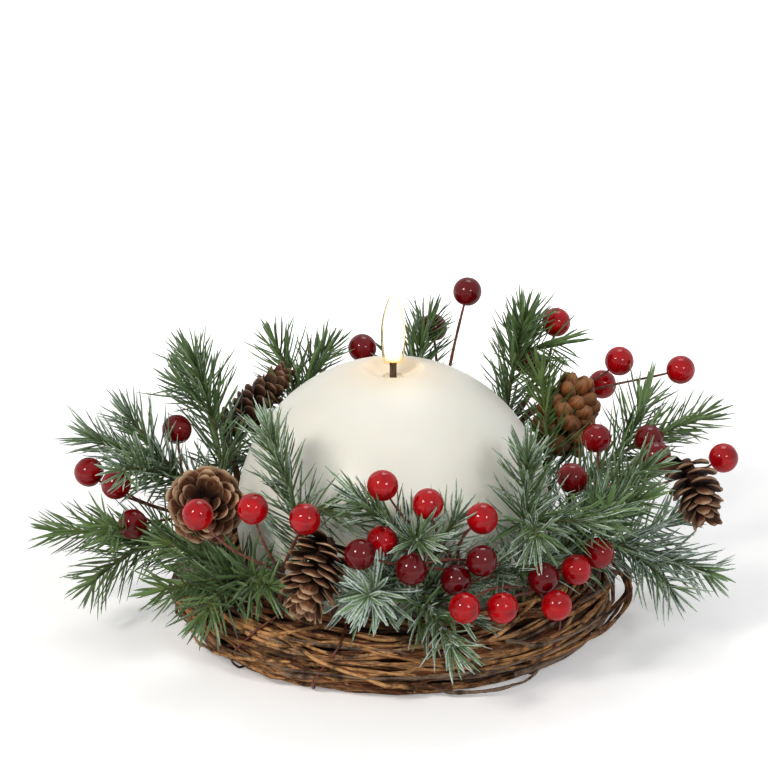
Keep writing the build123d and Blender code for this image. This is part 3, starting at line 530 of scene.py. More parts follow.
class RING_OT_flame(bpy.types.Operator):
    """Turn the lit flame diffuser and the wick sleeve under it"""

    bl_idname = "ring.flame"
    bl_label = "Flame and wick"

    def execute(self, context):
        settings = context.scene.ring_candle
        rows = smooth_rows(FLAME_SHARES, FLAME_ROWS)
        rows[:, 0] = np.clip(rows[:, 0], 0, 1) * (settings.flame_radius / MM)
        rows[[0, -1], 0] = 0
        self.shell("flame", rows, 0.0, 1.0, flame_skin_material(settings))
        self.shell("flame_wall", rows, FLAME_WALL_INSET, FLAME_WALL_SHARE, flame_wall_material(settings))
        profile = [*WICK_OUTSIDE, (WICK_BORE, WICK_TOP), (WICK_BORE, WICK_BOTTOM)]
        obj = piece("wick_sleeve", *lathe(profile, WICK_SIDES), wick_material(settings))
        weld(obj)
        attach(obj, "candle")
        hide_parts("wick")
        return {"FINISHED"}

    def shell(self, name, rows, inset, share, material):
        """A flame outline turned about the axis, narrowed to a share and set in at both ends."""
        height = FLAME_FOOT + inset + rows[:, 1] * (FLAME_LENGTH - 3 * inset)
        obj = piece(name, *lathe(np.stack([rows[:, 0] * share, height], 1), FLAME_SIDES), material)
        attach(obj, "candle")
        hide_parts("flame_shell")


# The twig ring

LAYERS = [
    # distance as a share of the bundle, twigs, stations, size, drift in degrees, tuck at the ends
    (0.20, 4, 60, 3.2, 4, 0.0),
    (0.46, 14, 70, 2.1, 14, 0.1),
    (0.66, 30, 90, 1.5, 30, 0.2),
    (0.81, 34, 118, 1.1, 70, 0.2),
    (0.91, 38, 124, 0.86, 130, 0.2),
    (0.97, 38, 124, 0.74, 210, 0.24),
    (1.0, 22, 124, 0.92, 110, 0.3),
]
HEART_SHARE = 0.8
SHELL_SHARE = 0.9
HEART_KINK = 4.0
OUTSIDE_KINK = 12.0
TWIG_CORNERS = 5
TWIG_SPAN = (210, 345)
TWIG_SIZES = (0.78, 1.25)
TWIG_FLATNESS = 0.92
TWIG_SINK = 0.35
TUCKED_SHARE = 0.06
BUNDLE_ROOM = 0.3
BARK_ROUGHNESS = 0.05
SPURS_A_LAYER = 70
SPUR_RADIUS = 0.62
SPUR_CORNERS = 6
SPUR_ROOM = 0.8
SPUR_RISE = (1.6, 3.2)
SPUR_REACH = (1.0, 3.0)
STRAYS = [
    # bearing, winding angle and rise over the bundle in millimetres, from end to end
    [(281, -46, -1.0), (288, -40, 1.8), (297, -33, 4.6), (304, -31, 4.4), (308, -29, 3.0), (313, -25, -1.0)],
    [(330, 38, -0.5), (342, 32, 1.6), (354, 25, 4.0), (4, 20, 3.2), (15, 14, -0.5)],
    [(328, -4, -0.5), (340, 2, 3.6), (352, 3, 8.0), (4, 0, 6.6), (18, -8, -0.5)],
    [(332, -34, -0.5), (342, -20, 3.0), (352, -4, 7.6), (358, 20, 7.0), (2, 44, 2.0), (5, 56, -0.5)],
    [(336, -46, -0.5), (345, -28, 4.0), (352, -6, 6.4), (357, 16, 5.4), (0, 40, 2.0), (2, 56, -0.5)],
    [(343, -44, -0.5), (351, -24, 3.4), (358, 4, 6.4), (3, 28, 5.2), (8, 56, -0.5)],
    [(348, -48, -0.5), (354, -20, 3.0), (357, 8, 8.2), (356, 34, 6.0), (352, 60, -0.5)],
    [(166, 8, -0.5), (178, 6, 1.4), (190, 4, 2.0), (203, 1, 1.2), (216, -3, -0.5)],
    [(196, -34, -0.5), (208, -28, 1.2), (219, -20, 1.8), (232, -10, 1.0), (243, 2, -0.5)],
    [(206, 26, -0.5), (214, 8, 1.0), (222, -10, 1.4), (232, -26, 0.8), (240, -40, -0.5)],
    [(236, 40, -0.5), (246, 22, 1.0), (257, 4, 1.4), (268, -16, 1.2), (276, -34, -0.5)],
    [(262, 34, -0.5), (272, 20, 0.8), (284, 6, 1.3), (297, -8, 0.8), (308, -22, -0.5)],
    [(300, 30, -0.5), (308, 12, 1.0), (317, -4, 1.6), (327, -22, 0.9), (334, -38, -0.5)],
    [(318, 36, -0.5), (324, 16, 1.4), (330, -4, 1.8), (337, -24, 1.2), (342, -40, -0.5)],
]
STRAY_STATIONS = 70
STRAY_CORNERS = 7
STRAY_LIFT = 0.6
STRAY_RADII = (0.58, 0.9)
TURN_BACK = 324
BINDINGS = [
    # bearing, slant in degrees from top to table
    (30, 6), (156, -5), (228, 7), (252, 5), (316, 6),
]
WIRE_START = 70
WIRE_TURN = 372
WIRE_STATIONS = 110
WIRE_CORNERS = 8
WIRE_LIFT = 0.75
WIRE_END_LIFT = 3.0
FIRST_EASE = 8
LAST_EASE = 14
FLOOR_GAP = 0.05
WAY_OUT = 63.3
KNOT_EVERY = 46.0
KNOT_SPREAD = 5.0
# Painted shade in the bundle's gaps: where it starts under the outside, and the depth over which it grows to
# full, in millimetres.
PAINTED_SHADE_START = 0.5
PAINTED_SHADE_DEPTH = 1.6


def section_point(settings, bearing, winding, distance):
    """Points at a distance from the middle of the bundle's section."""
    turn = np.radians(winding)
    reach = settings.ring_radius / MM + distance * np.cos(turn)
    return around(bearing, reach, settings.section_height / MM + distance * np.sin(turn))


def kinked(rng, tubes, stations, every, size):
    """Random offsets at even nodes, eased from each to the next."""
    nodes = max(2, stations // every)
    heights = rng.normal(0, size, (tubes, nodes + 1))
    place = np.linspace(0, nodes, stations)
    low = np.minimum(place.astype(int), nodes - 1)
    u = place - low
    u = u * u * (3 - 2 * u)
    return heights[:, low] * (1 - u) + heights[:, low + 1] * u


def off_candle(points):
    """Distances from the ball's middle, or above it from its axis, and those from the axis alone."""
    reach = np.linalg.norm(points[..., :2], axis=-1)
    below = np.minimum(points[..., 2] - CANDLE_MIDDLE, 0)
    return np.sqrt(reach**2 + below**2), reach


def clear_of_candle(points, radius):
    """Push points out of the ball and its way up, away from the axis."""
    away, reach = off_candle(points)
    short = np.maximum(WAY_OUT + radius - away, 0)
    points[..., :2] *= (1 + short / np.maximum(reach, 1))[..., None]
    return points


def twig_tubes(rng, paths, radius, corners, depth=0.0):
    """Twigs with knots, a slow taper and a rough, faceted bark: points, faces, values and UV.

    depth is painted shade: 1 where a twig lies deep in a gap of the bundle, so that its bark goes as dark as
    at the knots.
    """
    tubes, stations = paths.shape[:2]
    steps = np.linalg.norm(np.diff(paths, axis=1), axis=-1)
    far = np.concatenate([np.zeros((tubes, 1)), np.cumsum(steps, 1)], 1)
    phase = rng.uniform(0, KNOT_EVERY, (tubes, 1))
    gap = (far + phase) % KNOT_EVERY - KNOT_EVERY / 2
    knots = np.exp(-(gap**2) / KNOT_SPREAD)
    size = radius * (1 + 0.16 * kinked(rng, tubes, stations, 9, 1.0) + 0.3 * knots)
    size = np.maximum(size, 0.45 * radius)
    size[:, [0, -1]] *= 0.8
    points, faces = sweep(paths, size, size * TWIG_FLATNESS, corners, (0.0, 0.0, 1.0))
    middle = np.repeat(paths.reshape(-1, 3), corners, 0)
    points = middle + (points - middle) * (1 + rng.normal(0, BARK_ROUGHNESS, len(points)))[:, None]
    points[:, 2] = np.maximum(points[:, 2], FLOOR_GAP)
    values = {
        "tone": np.repeat(np.clip(rng.normal(0.45, 0.36, tubes), 0, 1), stations * corners),
        "grey": np.repeat(rng.uniform(0, 1, tubes) ** 5, stations * corners),
        # Dark knots, and painted shade on twigs deep in the bundle's gaps, held as one value.
        "knot": np.repeat(np.maximum(knots, depth).ravel(), corners),
    }
    round_share = np.tile(np.arange(corners) / corners, tubes * stations)
    uv = np.stack([round_share, np.repeat((far + phase * 7).ravel(), corners) / 10], 1)
    return points, faces, values, uv


def bark_material(settings):
    """Dried vine: thin brown bark that peels in long strips off golden wood, dark at the knots, with painted
    shade on the twigs deep in the bundle's gaps.
    """
    material, tree, shader = surface("dried vine bark", Roughness=0.62, IOR=1.45, Specular_IOR_Level=0.22)
    strip = noise(tree, 1.7, 6.0, 0.68, (4.0, 1.1, 1.0), uv_place(tree))
    blotch = noise(tree, 120, 4.0, 0.65)
    fine = noise(tree, 700, 4.0, 0.65)
    peel = maths(tree, "ADD", strip, maths(tree, "MULTIPLY", value_at(tree, "tone"), 0.5))
    weathered = maths(tree, "MULTIPLY", value_at(tree, "grey"), blotch)
    shade = blend(tree, settings.bark_mid, settings.bark_light, peel, (0.60, 0.0), (0.86, 1.0))
    shade = blend(tree, shade, settings.bark_grey, weathered, (0.14, 0.0), (0.40, 0.8))
    shade = blend(tree, shade, settings.bark_dark, strip, (0.30, 0.9), (0.46, 0.0))
    shade = blend(tree, shade, settings.bark_dark, blotch, (0.49, 0.0), (0.62, 0.8))
    # Painted shade: dark at the knots, and darker on twigs deep in the bundle's gaps.
    shade = blend(tree, shade, settings.bark_dark, value_at(tree, "knot"), (0.25, 0.0), (0.9, 0.85))
    shade = blend(tree, shade, linear("#1f120d"), fine, (0.56, 0.0), (0.72, 0.6))
    finish(shader, shade, maths(tree, "ADD", strip, fine), 0.0007, 0.9)
    return material


def wire_material(settings):
    """Annealed binding wire: browned by heat, with a faint metal sheen."""
    material, tree, shader = surface("annealed binding wire", Roughness=0.45, Metallic=0.35)
    worn = noise(tree, 500)
    tone = blend(tree, settings.copper, linear("#3a1c15"), worn, (0.4, 0.0), (0.7, 1.0))
    finish(shader, tone, worn, 0.0001)
    return material


def bark_piece(name, runs, material, *nodes):
    """One piece of several runs of twigs, which stands for the CAD nodes."""
    values = {key: np.concatenate([run[2][key] for run in runs]) for key in ("tone", "grey", "knot")}
    uv = np.concatenate([run[3] for run in runs])
    obj = piece(name, *join([run[:2] for run in runs]), material, values, smooth=False, uv=uv)
    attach(obj, "ring")
    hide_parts(*nodes)


class RING_OT_twig_bundle(bpy.types.Operator):
    """Lay the wound vines of the ring in crossing layers, with their spurs"""

    bl_idname = "ring.twig_bundle"
    bl_label = "Twig bundle"

    def execute(self, context):
        settings = context.scene.ring_twigs
        rng = np.random.default_rng(SEED)
        heart = []
        outside = []
        shell = []
        for row in LAYERS:
            run, paths = self.layer(rng, settings, *row)
            (outside if row[0] > HEART_SHARE else heart).append(run)
            if row[0] > SHELL_SHARE:
                shell.append(paths)
        outside.append(self.spurs(rng, settings, shell))
        material = bark_material(settings)
        bark_piece("twig_bundle", outside, material, "bottom_twigs", "outer_twigs", "inner_twigs")
        bark_piece("twig_heart", heart, material, "twig_core")
        return {"FINISHED"}

    def layer(self, rng, settings, share, count, stations, size, drift, tuck):
        """One layer of twigs, which wander round the section, and their paths."""
        bundle = settings.section_radius / MM
        twig = settings.twig_radius / MM
        along = np.linspace(0, 1, stations)
        start = rng.uniform(0, 360, (count, 1))
        bearing = start + rng.uniform(*TWIG_SPAN, (count, 1)) * along
        winding = (np.arange(count)[:, None] + rng.uniform(-0.25, 0.25, (count, 1))) * 360 / count
        winding = winding + rng.normal(0, drift, (count, 1)) * (along - 0.5)
        kink = OUTSIDE_KINK if share > HEART_SHARE else HEART_KINK
        winding = winding + kinked(rng, count, stations, 9, kink)
        distance = share * bundle - twig * size * TWIG_SINK
        distance = distance + kinked(rng, count, stations, 6, 0.55) + kinked(rng, count, stations, 22, 0.95)
        ends = np.clip(np.minimum(along, 1 - along) / TUCKED_SHARE, 0, 1)
        distance = distance * (1 - tuck * (1 - ends) ** 2)
        distance = np.minimum(distance, bundle + BUNDLE_ROOM - twig * size)
        paths = section_point(settings, bearing, winding, distance)
        radius = twig * size * rng.uniform(*TWIG_SIZES, (count, 1))
        paths[..., 2] = np.maximum(paths[..., 2], radius * 0.9 + FLOOR_GAP)
        paths = clear_of_candle(paths, radius)
        # Painted shade: the deeper a twig lies in the bundle, the darker its bark.
        depth = np.clip((bundle - PAINTED_SHADE_START - radius - distance) / PAINTED_SHADE_DEPTH, 0, 1)
        return twig_tubes(rng, paths, radius, TWIG_CORNERS, depth), paths

    def spurs(self, rng, settings, shell):
        """Short cut side shoots that stand a few millimetres off the outer twigs."""
        paths = []
        for twigs in shell:
            for _ in range(SPURS_A_LAYER):
                twig = twigs[rng.integers(len(twigs))]
                station = rng.integers(4, len(twig) - 5)
                foot = twig[station]
                along = unit(twig[station + 1] - twig[station - 1])
                out = foot - unit(foot * [1, 1, 0]) * settings.ring_radius / MM
                out = unit(out - [0, 0, settings.section_height / MM])
                out[2] = max(out[2], 0.1)
                tip = foot + (out * rng.uniform(*SPUR_RISE) + along * rng.uniform(*SPUR_REACH))
                paths.append(np.linspace(foot, tip, 4))
        paths = clear_of_candle(np.array(paths), SPUR_ROOM)
        return twig_tubes(rng, paths, SPUR_RADIUS, SPUR_CORNERS)


class RING_OT_stray_twigs(bpy.types.Operator):
    """Bow the loose vines off the outside of the ring"""

    bl_idname = "ring.stray_twigs"
    bl_label = "Stray twigs"

    def execute(self, context):
        settings = context.scene.ring_twigs
        rng = np.random.default_rng(SEED + 1)
        paths = []
        for places in STRAYS:
            places = np.array(places, float)
            places[places[:, 0] > TURN_BACK, 0] -= 360
            bearing, winding, rise = smooth_rows(places, STRAY_STATIONS).T
            distance = settings.section_radius / MM + rise + STRAY_LIFT
            paths.append(section_point(settings, bearing, winding, distance))
        jitter = [kinked(rng, len(paths), STRAY_STATIONS, 8, 0.35) for _ in range(3)]
        paths = np.array(paths) + np.stack(jitter, -1)
        radius = rng.uniform(*STRAY_RADII, (len(paths), 1))
        paths[..., 2] = np.maximum(paths[..., 2], radius + FLOOR_GAP)
        run = twig_tubes(rng, paths, radius, STRAY_CORNERS)
        bark_piece("stray_twigs", [run], bark_material(settings), "wrapping_twigs")
        return {"FINISHED"}


class RING_OT_binding_wires(bpy.types.Operator):
    """Wind the thin wires that hold the bundle, each with its twisted ends"""

    bl_idname = "ring.binding_wires"
    bl_label = "Binding wires"

    def execute(self, context):
        settings = context.scene.ring_twigs
        radius = settings.wire_radius / MM
        rng = np.random.default_rng(SEED + 2)
        winding = np.linspace(WIRE_START, WIRE_START + WIRE_TURN, WIRE_STATIONS)
        last = np.clip((winding - (WIRE_START + WIRE_TURN - LAST_EASE)) / LAST_EASE, 0, 1)
        first = np.clip((WIRE_START + FIRST_EASE - winding) / FIRST_EASE, 0, 1)
        paths = []
        for bearing, slant in BINDINGS:
            distance = settings.section_radius / MM + WIRE_LIFT + kinked(rng, 1, WIRE_STATIONS, 6, 0.18)[0]
            leaning = bearing + slant * np.sin(np.radians(winding))
            leaning = leaning + kinked(rng, 1, WIRE_STATIONS, 14, 0.7)[0]
            distance = distance + (last**2 * WIRE_END_LIFT + first**2 * WIRE_END_LIFT)
            paths.append(section_point(settings, leaning, winding, distance))
        paths = np.array(paths)
        paths[..., 2] = np.maximum(paths[..., 2], radius + FLOOR_GAP)
        paths = clear_of_candle(paths, radius)
        thin = np.full(paths.shape[:2], radius)
        points, faces = sweep(paths, thin, thin, WIRE_CORNERS, (1, 1, 0.2))
        obj = piece("binding_loops", points, faces, wire_material(settings))
        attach(obj, "ring")
        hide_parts("binding_wires")
        return {"FINISHED"}


# Pine

STEM_FREE_HEIGHT = 30.7
STEM_ROOT_DEPTH = 8
CORE_FLAT = 21.9
BERRY_ROOM = 6.4
BOX_MARGIN = 0.015
NEEDLE_FLOOR = 1.0
SHOOT_STATIONS = 26
SHOOT_CORNERS = 7
SHOOT_RADII = (1.1, 0.55)
ROOT_RADIUS = 1.25
SIDE_STATIONS = 16
SIDE_BEND = 0.35
SIDE_DENSITY = 0.85
CROWDING = 0.72
TUFT_NEEDLES = 8
TUFT_SHARE = 0.995
NEEDLE_JITTER = 0.25
NEEDLE_SIZES = (0.84, 1.06)
NEEDLE_FLATNESS = 0.55
NEEDLE_CORNERS = 4
LEAN_JITTER = 7
BROAD_NEEDLES = {"front_rosette": 1.45, "front_low": 1.2, "right_low": 1.2, "front_left_low": 1.1}
NEEDLE_PROFILE = np.array([0.55, 0.92, 1.0, 1.0, 0.88, 0.22])
SPRIGS = {
    # root bearing, bend height share, tip (bearing, reach share, rise share), needle angle at
    # foot and tip, frost, young growth, first needle's share, side shoots: (share, tip place, start)
    "front_rosette": (266, 0.46, (265, 1.47, 0.50), 84, 44, 1.4, 0.0, 0.25, [(0.3, (257, 1.16, 0.40), 0.1)]),
    "front_low": (275, 0.44, (282, 1.46, 0.30), 78, 42, 0.9, 0.1, 0.25,
        [(0.25, (287, 1.20, 0.34), 0.1), (0.08, (264, 1.10, 0.44), 0.1)]),
    "front_left_tall": (243, 0.62, (231, 1.02, 0.93), 62, 38, 0.85, 0.2, 0.06,
        [(0.5, (256, 1.06, 0.70), 0.1)]),
    "front_left_low": (221, 0.36, (216, 1.50, 0.36), 72, 44, 0.42, 0.5, 0.0,
        [(0.1, (238, 1.24, 0.42), 0.0), (0.15, (207, 1.34, 0.46), 0.0), (0.3, (225, 1.40, 0.30), 0.1)]),
    "front_cross": (284, 0.50, (262, 1.13, 0.76), 68, 40, 0.95, 0.1, 0.0,
        [(0.55, (276, 1.26, 0.66), 0.1), (0.08, (299, 1.10, 0.46), 0.0), (0.12, (268, 1.08, 0.50), 0.0),
         (0.3, (288, 1.05, 0.66), 0.1)]),
    "front_right_tall": (314, 0.60, (313, 1.04, 0.83), 62, 40, 0.85, 0.2, 0.0,
        [(0.45, (305, 1.30, 0.62), 0.1), (0.4, (322, 1.30, 0.60), 0.15), (0.08, (299, 1.12, 0.46), 0.0),
         (0.08, (327, 1.14, 0.42), 0.0)]),
    "right_filler": (335, 0.48, (336, 1.42, 0.62), 66, 40, 0.55, 0.2, 0.04,
        [(0.5, (327, 1.36, 0.62), 0.2), (0.1, (330, 1.16, 0.40), 0.1)]),
    "right_low": (344, 0.46, (349, 1.74, 0.27), 70, 42, 1.25, 0.1, 0.12,
        [(0.55, (341, 1.58, 0.26), 0.1), (0.45, (354, 1.55, 0.44), 0.15)]),
    "right_rosette": (351, 0.50, (343, 1.42, 0.70), 80, 44, 0.7, 0.2, 0.12, []),
    "right_long": (17, 0.52, (17, 1.78, 0.66), 64, 38, 0.4, 0.4, 0.10, [(0.55, (25, 1.58, 0.70), 0.1)]),
    "right_inner": (28, 0.60, (36, 1.03, 0.80), 68, 44, 0.15, 0.9, 0.10, []),
    "right_tall": (51, 0.74, (44, 1.03, 1.01), 58, 38, 0.4, 0.3, 0.06,
        [(0.6, (52, 1.22, 0.90), 0.1), (0.7, (38, 1.16, 0.92), 0.2), (0.15, (64, 1.10, 0.42), 0.0)]),
    "rear": (85, 0.66, (80, 1.12, 0.89), 60, 38, 0.5, 0.3, 0.04,
        [(0.6, (88, 1.16, 0.72), 0.1), (0.15, (99, 1.10, 0.42), 0.0), (0.12, (70, 1.12, 0.38), 0.0)]),
    "rear_left": (128, 0.60, (111, 1.11, 0.80), 64, 40, 0.4, 0.2, 0.0,
        [(0.5, (122, 1.24, 0.82), 0.2), (0.15, (142, 1.10, 0.44), 0.0), (0.12, (112, 1.12, 0.40), 0.0)]),
    "left_tall": (161, 0.70, (162, 1.16, 0.93), 60, 38, 0.5, 0.2, 0.10,
        [(0.55, (156, 1.28, 0.80), 0.2), (0.2, (150, 1.02, 0.56), 0.0)]),
    "left_upper": (171, 0.50, (178, 1.64, 0.70), 62, 38, 0.85, 0.1, 0.08,
        [(0.45, (190, 1.48, 0.66), 0.1), (0.4, (172, 1.46, 0.74), 0.2)]),
    "left_long": (189, 0.36, (184, 1.83, 0.38), 66, 38, 0.36, 0.4, 0.0,
        [(0.4, (198, 1.62, 0.50), 0.1), (0.5, (190, 1.66, 0.22), 0.2)]),
}


def crown(twigs, bearing, reach_share, rise_share):
    """A place of the dressing, in shares of the ring's radius and the candle's height."""
    return around(bearing, reach_share * twigs.ring_radius / MM, rise_share * DIP_RIM)


def rooted(twigs, root, bend_height, tip, count):
    """A stem out of its hole in the ring, up, and over in one bend to its tip."""
    reach = twigs.ring_radius / MM
    up = np.stack([around(root, reach, CORE_FLAT - STEM_ROOT_DEPTH), around(root, reach, CORE_FLAT)])
    free = [around(root, reach, STEM_FREE_HEIGHT), around(root, reach, bend_height), tip]
    return up, curve(free, count)


def at_share(path, share):
    """Places and directions along a path."""
    place = np.clip(share, 0, 1) * (len(path) - 1)
    low = np.minimum(place.astype(int), len(path) - 2)
    u = (place - low)[:, None]
    return path[low] * (1 - u) + path[low + 1] * u, unit(path[low + 1] - path[low])


def in_cad_box(points):
    """Which runs of points stay within the CAD model's box and a small margin."""
    low, high = (np.array(corner) / MM for corner in CAD_BOX)
    room = BOX_MARGIN * (high - low)
    return ((points > low - room) & (points < high + room)).all((1, 2))


def keep_free(paths, berries):
    """Which needles stay out of the ball, its way up, the berries and the floor, and in the box."""
    near = np.linalg.norm(paths[:, :, None] - berries, axis=-1).min((1, 2))
    off_floor = paths[..., 2].min(1) > NEEDLE_FLOOR
    return (off_candle(paths)[0].min(1) > WAY_OUT) & (near > BERRY_ROOM) & in_cad_box(paths) & off_floor


def needles_on(rng, pine, path, first, foot_angle, tip_angle, density, berries):
    """Needle paths: golden-angle turns round the shoot, leaning on and curling to its tip."""
    run = np.linalg.norm(np.diff(path, axis=0), axis=1).sum() * (1 - first)
    count = int(run / 10 * pine.needles_per_centimetre * density)
    tuft = int(TUFT_NEEDLES * density)
    share = first + (1 - first) * ((np.arange(count) + 0.5) / count) ** CROWDING
    share = np.concatenate([share, np.full(tuft, TUFT_SHARE)])
    count += tuft
    start, along = at_share(path, share)
    out = golden_ways(rng, along, count, NEEDLE_JITTER)
    lean = foot_angle + (tip_angle - foot_angle) * (share - first) / (1 - first)
    lean[-tuft:] = rng.uniform(4, tip_angle * 1.3, tuft)
    lean = np.radians(lean + rng.normal(0, LEAN_JITTER, count))[:, None]
    direction = along * np.cos(lean) + out * np.sin(lean)
    size = pine.needle_length / MM * (1.06 - 0.34 * share**3) * rng.uniform(*NEEDLE_SIZES, count)
    t = np.linspace(0, 1, len(NEEDLE_PROFILE))[None, :, None]
    curl = along * rng.uniform(0.0, 0.22, (count, 1)) + rng.normal(0, 0.09, (count, 3))
    paths = start[:, None] + size[:, None, None] * (direction[:, None] * t + curl[:, None] * t**2)
    free = keep_free(paths[:, 1:], berries)
    return paths[free], along[free], share[free]


def pine_material(pine):
    """Moulded needles: deep green, paler along the young shoots, with powdered white edges."""
    material, tree, shader = surface("moulded pine needles", IOR=1.48, Specular_IOR_Level=0.28)
    shade = mixed(tree, value_at(tree, "tone"), pine.green_deep, pine.green_mid)
    shade = mixed(tree, value_at(tree, "young"), shade, pine.green_young)
    grain = noise(tree, 900, 3.0, 0.6)
    patch = ramp(tree, grain, (0.32, 0.45), (0.60, 1.0))
    speck = maths(tree, "MULTIPLY", value_at(tree, "frost"), patch)
    rim = ramp(tree, speck, (0.20, 0.0), (0.42, 0.45), (0.72, 1.0))
    shade = mixed(tree, rim, shade, pine.frost)
    shade = mixed(tree, value_at(tree, "stem"), shade, linear("#4d3b27"))
    plug(shader, Roughness=mapped(tree, rim, (0.0, 1.0), (0.36, 0.75)))
    finish(shader, shade, grain, 0.00012, 0.5)
    return material


class RING_OT_pine_sprigs(bpy.types.Operator):
    """Grow every pine sprig: its shoots and their needles"""

    bl_idname = "ring.pine_sprigs"
    bl_label = "Pine sprigs"

    def execute(self, context):
        twigs = context.scene.ring_twigs
        pine = context.scene.ring_pine
        material = pine_material(pine)
        berries = np.array([crown(twigs, *place[:3]) for pick in PICKS.values() for place in pick[2]])
        for number, (name, row) in enumerate(SPRIGS.items()):
            rng = np.random.default_rng(SEED + 10 + number)
            points, faces, values = self.sprig(name, row, rng, twigs, pine, berries)
            obj = piece("pine_" + name, points, faces, material, values, smooth=False)
            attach(obj, "ring")
            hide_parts("sprig_" + name)
        return {"FINISHED"}

    def sprig(self, name, row, rng, twigs, pine, berries):
        """One sprig: a main shoot with its side shoots, all of them with their needles."""
        root, bend_share, tip_place, foot_angle, tip_angle, frost, young, first, side_shoots = row
        broad = BROAD_NEEDLES.get(name, 1.0)
        up, main = rooted(twigs, root, bend_share * DIP_RIM, crown(twigs, *tip_place), SHOOT_STATIONS)
        shoots = [(main, first, 1.0)]
        for share, side_tip, side_first in side_shoots:
            start, along = (rows[0] for rows in at_share(main, np.array([share])))
            end = crown(twigs, *side_tip)
            control = start + along * np.linalg.norm(end - start) * SIDE_BEND
            shoots.append((curve([start, control, end], SIDE_STATIONS), side_first, SIDE_DENSITY))
        stems = []
        grown = []
        for path, start_share, density in shoots:
            wide = np.linspace(*SHOOT_RADII, len(path))
            if path is main:
                path = np.concatenate([up, path])
                wide = np.concatenate([[ROOT_RADIUS, ROOT_RADIUS], wide])
            grown.append(
                needles_on(rng, pine, path[1:], start_share, foot_angle, tip_angle, density / broad, berries)
            )
            stems.append(rod(path, wide, SHOOT_CORNERS))
        paths, hint, share = (np.concatenate(rows) for rows in zip(*grown))
        half = pine.needle_width / MM / 2 * NEEDLE_PROFILE * broad
        wide = half * rng.uniform(0.85, 1.12, (len(paths), 1))
        needles = sweep(paths, wide, wide * NEEDLE_FLATNESS, NEEDLE_CORNERS, hint[:, None])
        values = self.needle_values(rng, share[:, None, None], frost, young)
        extra = sum(len(points) for points, _ in stems)
        for key, level in (("tone", 0.4), ("young", 0.3), ("frost", 0.15 * frost), ("stem", 0.65)):
            values[key] = np.concatenate([np.full(extra, level), values[key].ravel()])
        return *join([*stems, needles]), values

    def needle_values(self, rng, share, frost, young):
        """Tone, young growth and frost at each needle's stations and corners: frost lies on its edges."""
        count = len(share)
        shape = (count, len(NEEDLE_PROFILE), NEEDLE_CORNERS)
        along = np.linspace(0, 1, len(NEEDLE_PROFILE))[None, :, None]
        edge = np.array([1.0, 0.04, 1.0, 0.04])
        powder = rng.uniform(0.35, 1.15, (count, 1, 1)) * frost
        frosting = powder * edge * (0.55 + 0.45 * along) + powder * 0.25 * along**2
        tone = np.clip(rng.normal(0.48, 0.30, (count, 1, 1)) + 0.35 * (along - 0.4), 0, 1)
        fresh = young * np.clip(share * 1.2 - 0.3, 0, 1) * (1 - along) * 0.9
        return {
            "tone": np.broadcast_to(tone, shape),
            "young": np.broadcast_to(fresh + 0.12 * (1 - along) ** 2, shape),
            "frost": np.clip(frosting, 0, 1),
            "stem": np.zeros(shape),
        }


# Cones

CONES = {
    # root, bend share, foot place, tip place, radius, scales, spread at foot and tip,
    # width and thickness of a scale in radii, heart in radii, lightness
    "left_open": (209, 0.46, (208, 1.14, 0.58), (219, 1.28, 0.69), 16.5, 52, 108, 24, 0.31, 0.028, 0.2, 0.95),
    "front": (252, 0.62, (253, 1.14, 0.61), (250, 1.42, 0.40), 13.2, 66, 96, 28, 0.36, 0.030, 0.20, 0.85),
    "rear_left": (150, 0.46, (148, 1.12, 0.58), (123, 1.10, 0.76), 9.0, 64, 84, 30, 0.42, 0.045, 0.26, 0.20),
    "right_closed": (36, 0.40, (35, 1.12, 0.50), (31, 1.24, 0.80), 12.5, 36, 70, 18, 0.42, 0.28, 0.46, 0.75),
    "far_right": (357, 0.50, (356, 1.60, 0.65), (347, 1.74, 0.48), 11.0, 48, 92, 28, 0.38, 0.060, 0.24, 0.60),
}
CLOSED_THICKNESS = 0.2
SCALE_WIDTH = np.array([0.30, 0.38, 0.50, 0.66, 0.84, 0.98, 1.0, 0.80, 0.34])
SCALE_THICK = np.array([0.9, 0.8, 0.65, 0.6, 0.75, 1.0, 1.25, 1.1, 0.45])
SCALE_CORNERS = 14
SCALE_CUP = 0.2
HEART_STATIONS = 12
HEART_CORNERS = 16
CONE_STEM_STATIONS = 22
CONE_STEM_RADII = (1.5, 1.3)
CONE_STEM_CORNERS = 9


def cone_material(pine):
    """Dried cone scales: painted shade makes them dark at the foot and in the heart, streaked brown on the
    face, worn pale along the lip.
    """
    values = {"Roughness": 0.6, "IOR": 1.45, "Specular_IOR_Level": 0.2}
    material, tree, shader = surface("dried pine cone scales", **values)
    streak = noise(tree, 2.2, 4.0, 0.6, (9.0, 1.2, 1.0), uv_place(tree))
    brown = mixed(tree, value_at(tree, "warm"), pine.scale_brown, pine.scale_warm)
    # Painted shade: the scales go to the dark heart colour towards their feet, deep in the cone.
    shade = blend(tree, pine.scale_dark, brown, value_at(tree, "out"), (0.10, 0.0), (0.62, 1.0))
    shade = blend(tree, shade, pine.scale_dark, streak, (0.40, 0.0), (0.66, 0.8))
    worn = ramp(tree, noise(tree, 260), (0.3, 0.45), (0.6, 1.0))
    lip = maths(tree, "MULTIPLY", value_at(tree, "lip"), worn)
    finish(shader, mixed(tree, lip, shade, pine.scale_lip), streak, 0.00035, 0.8)
    return material


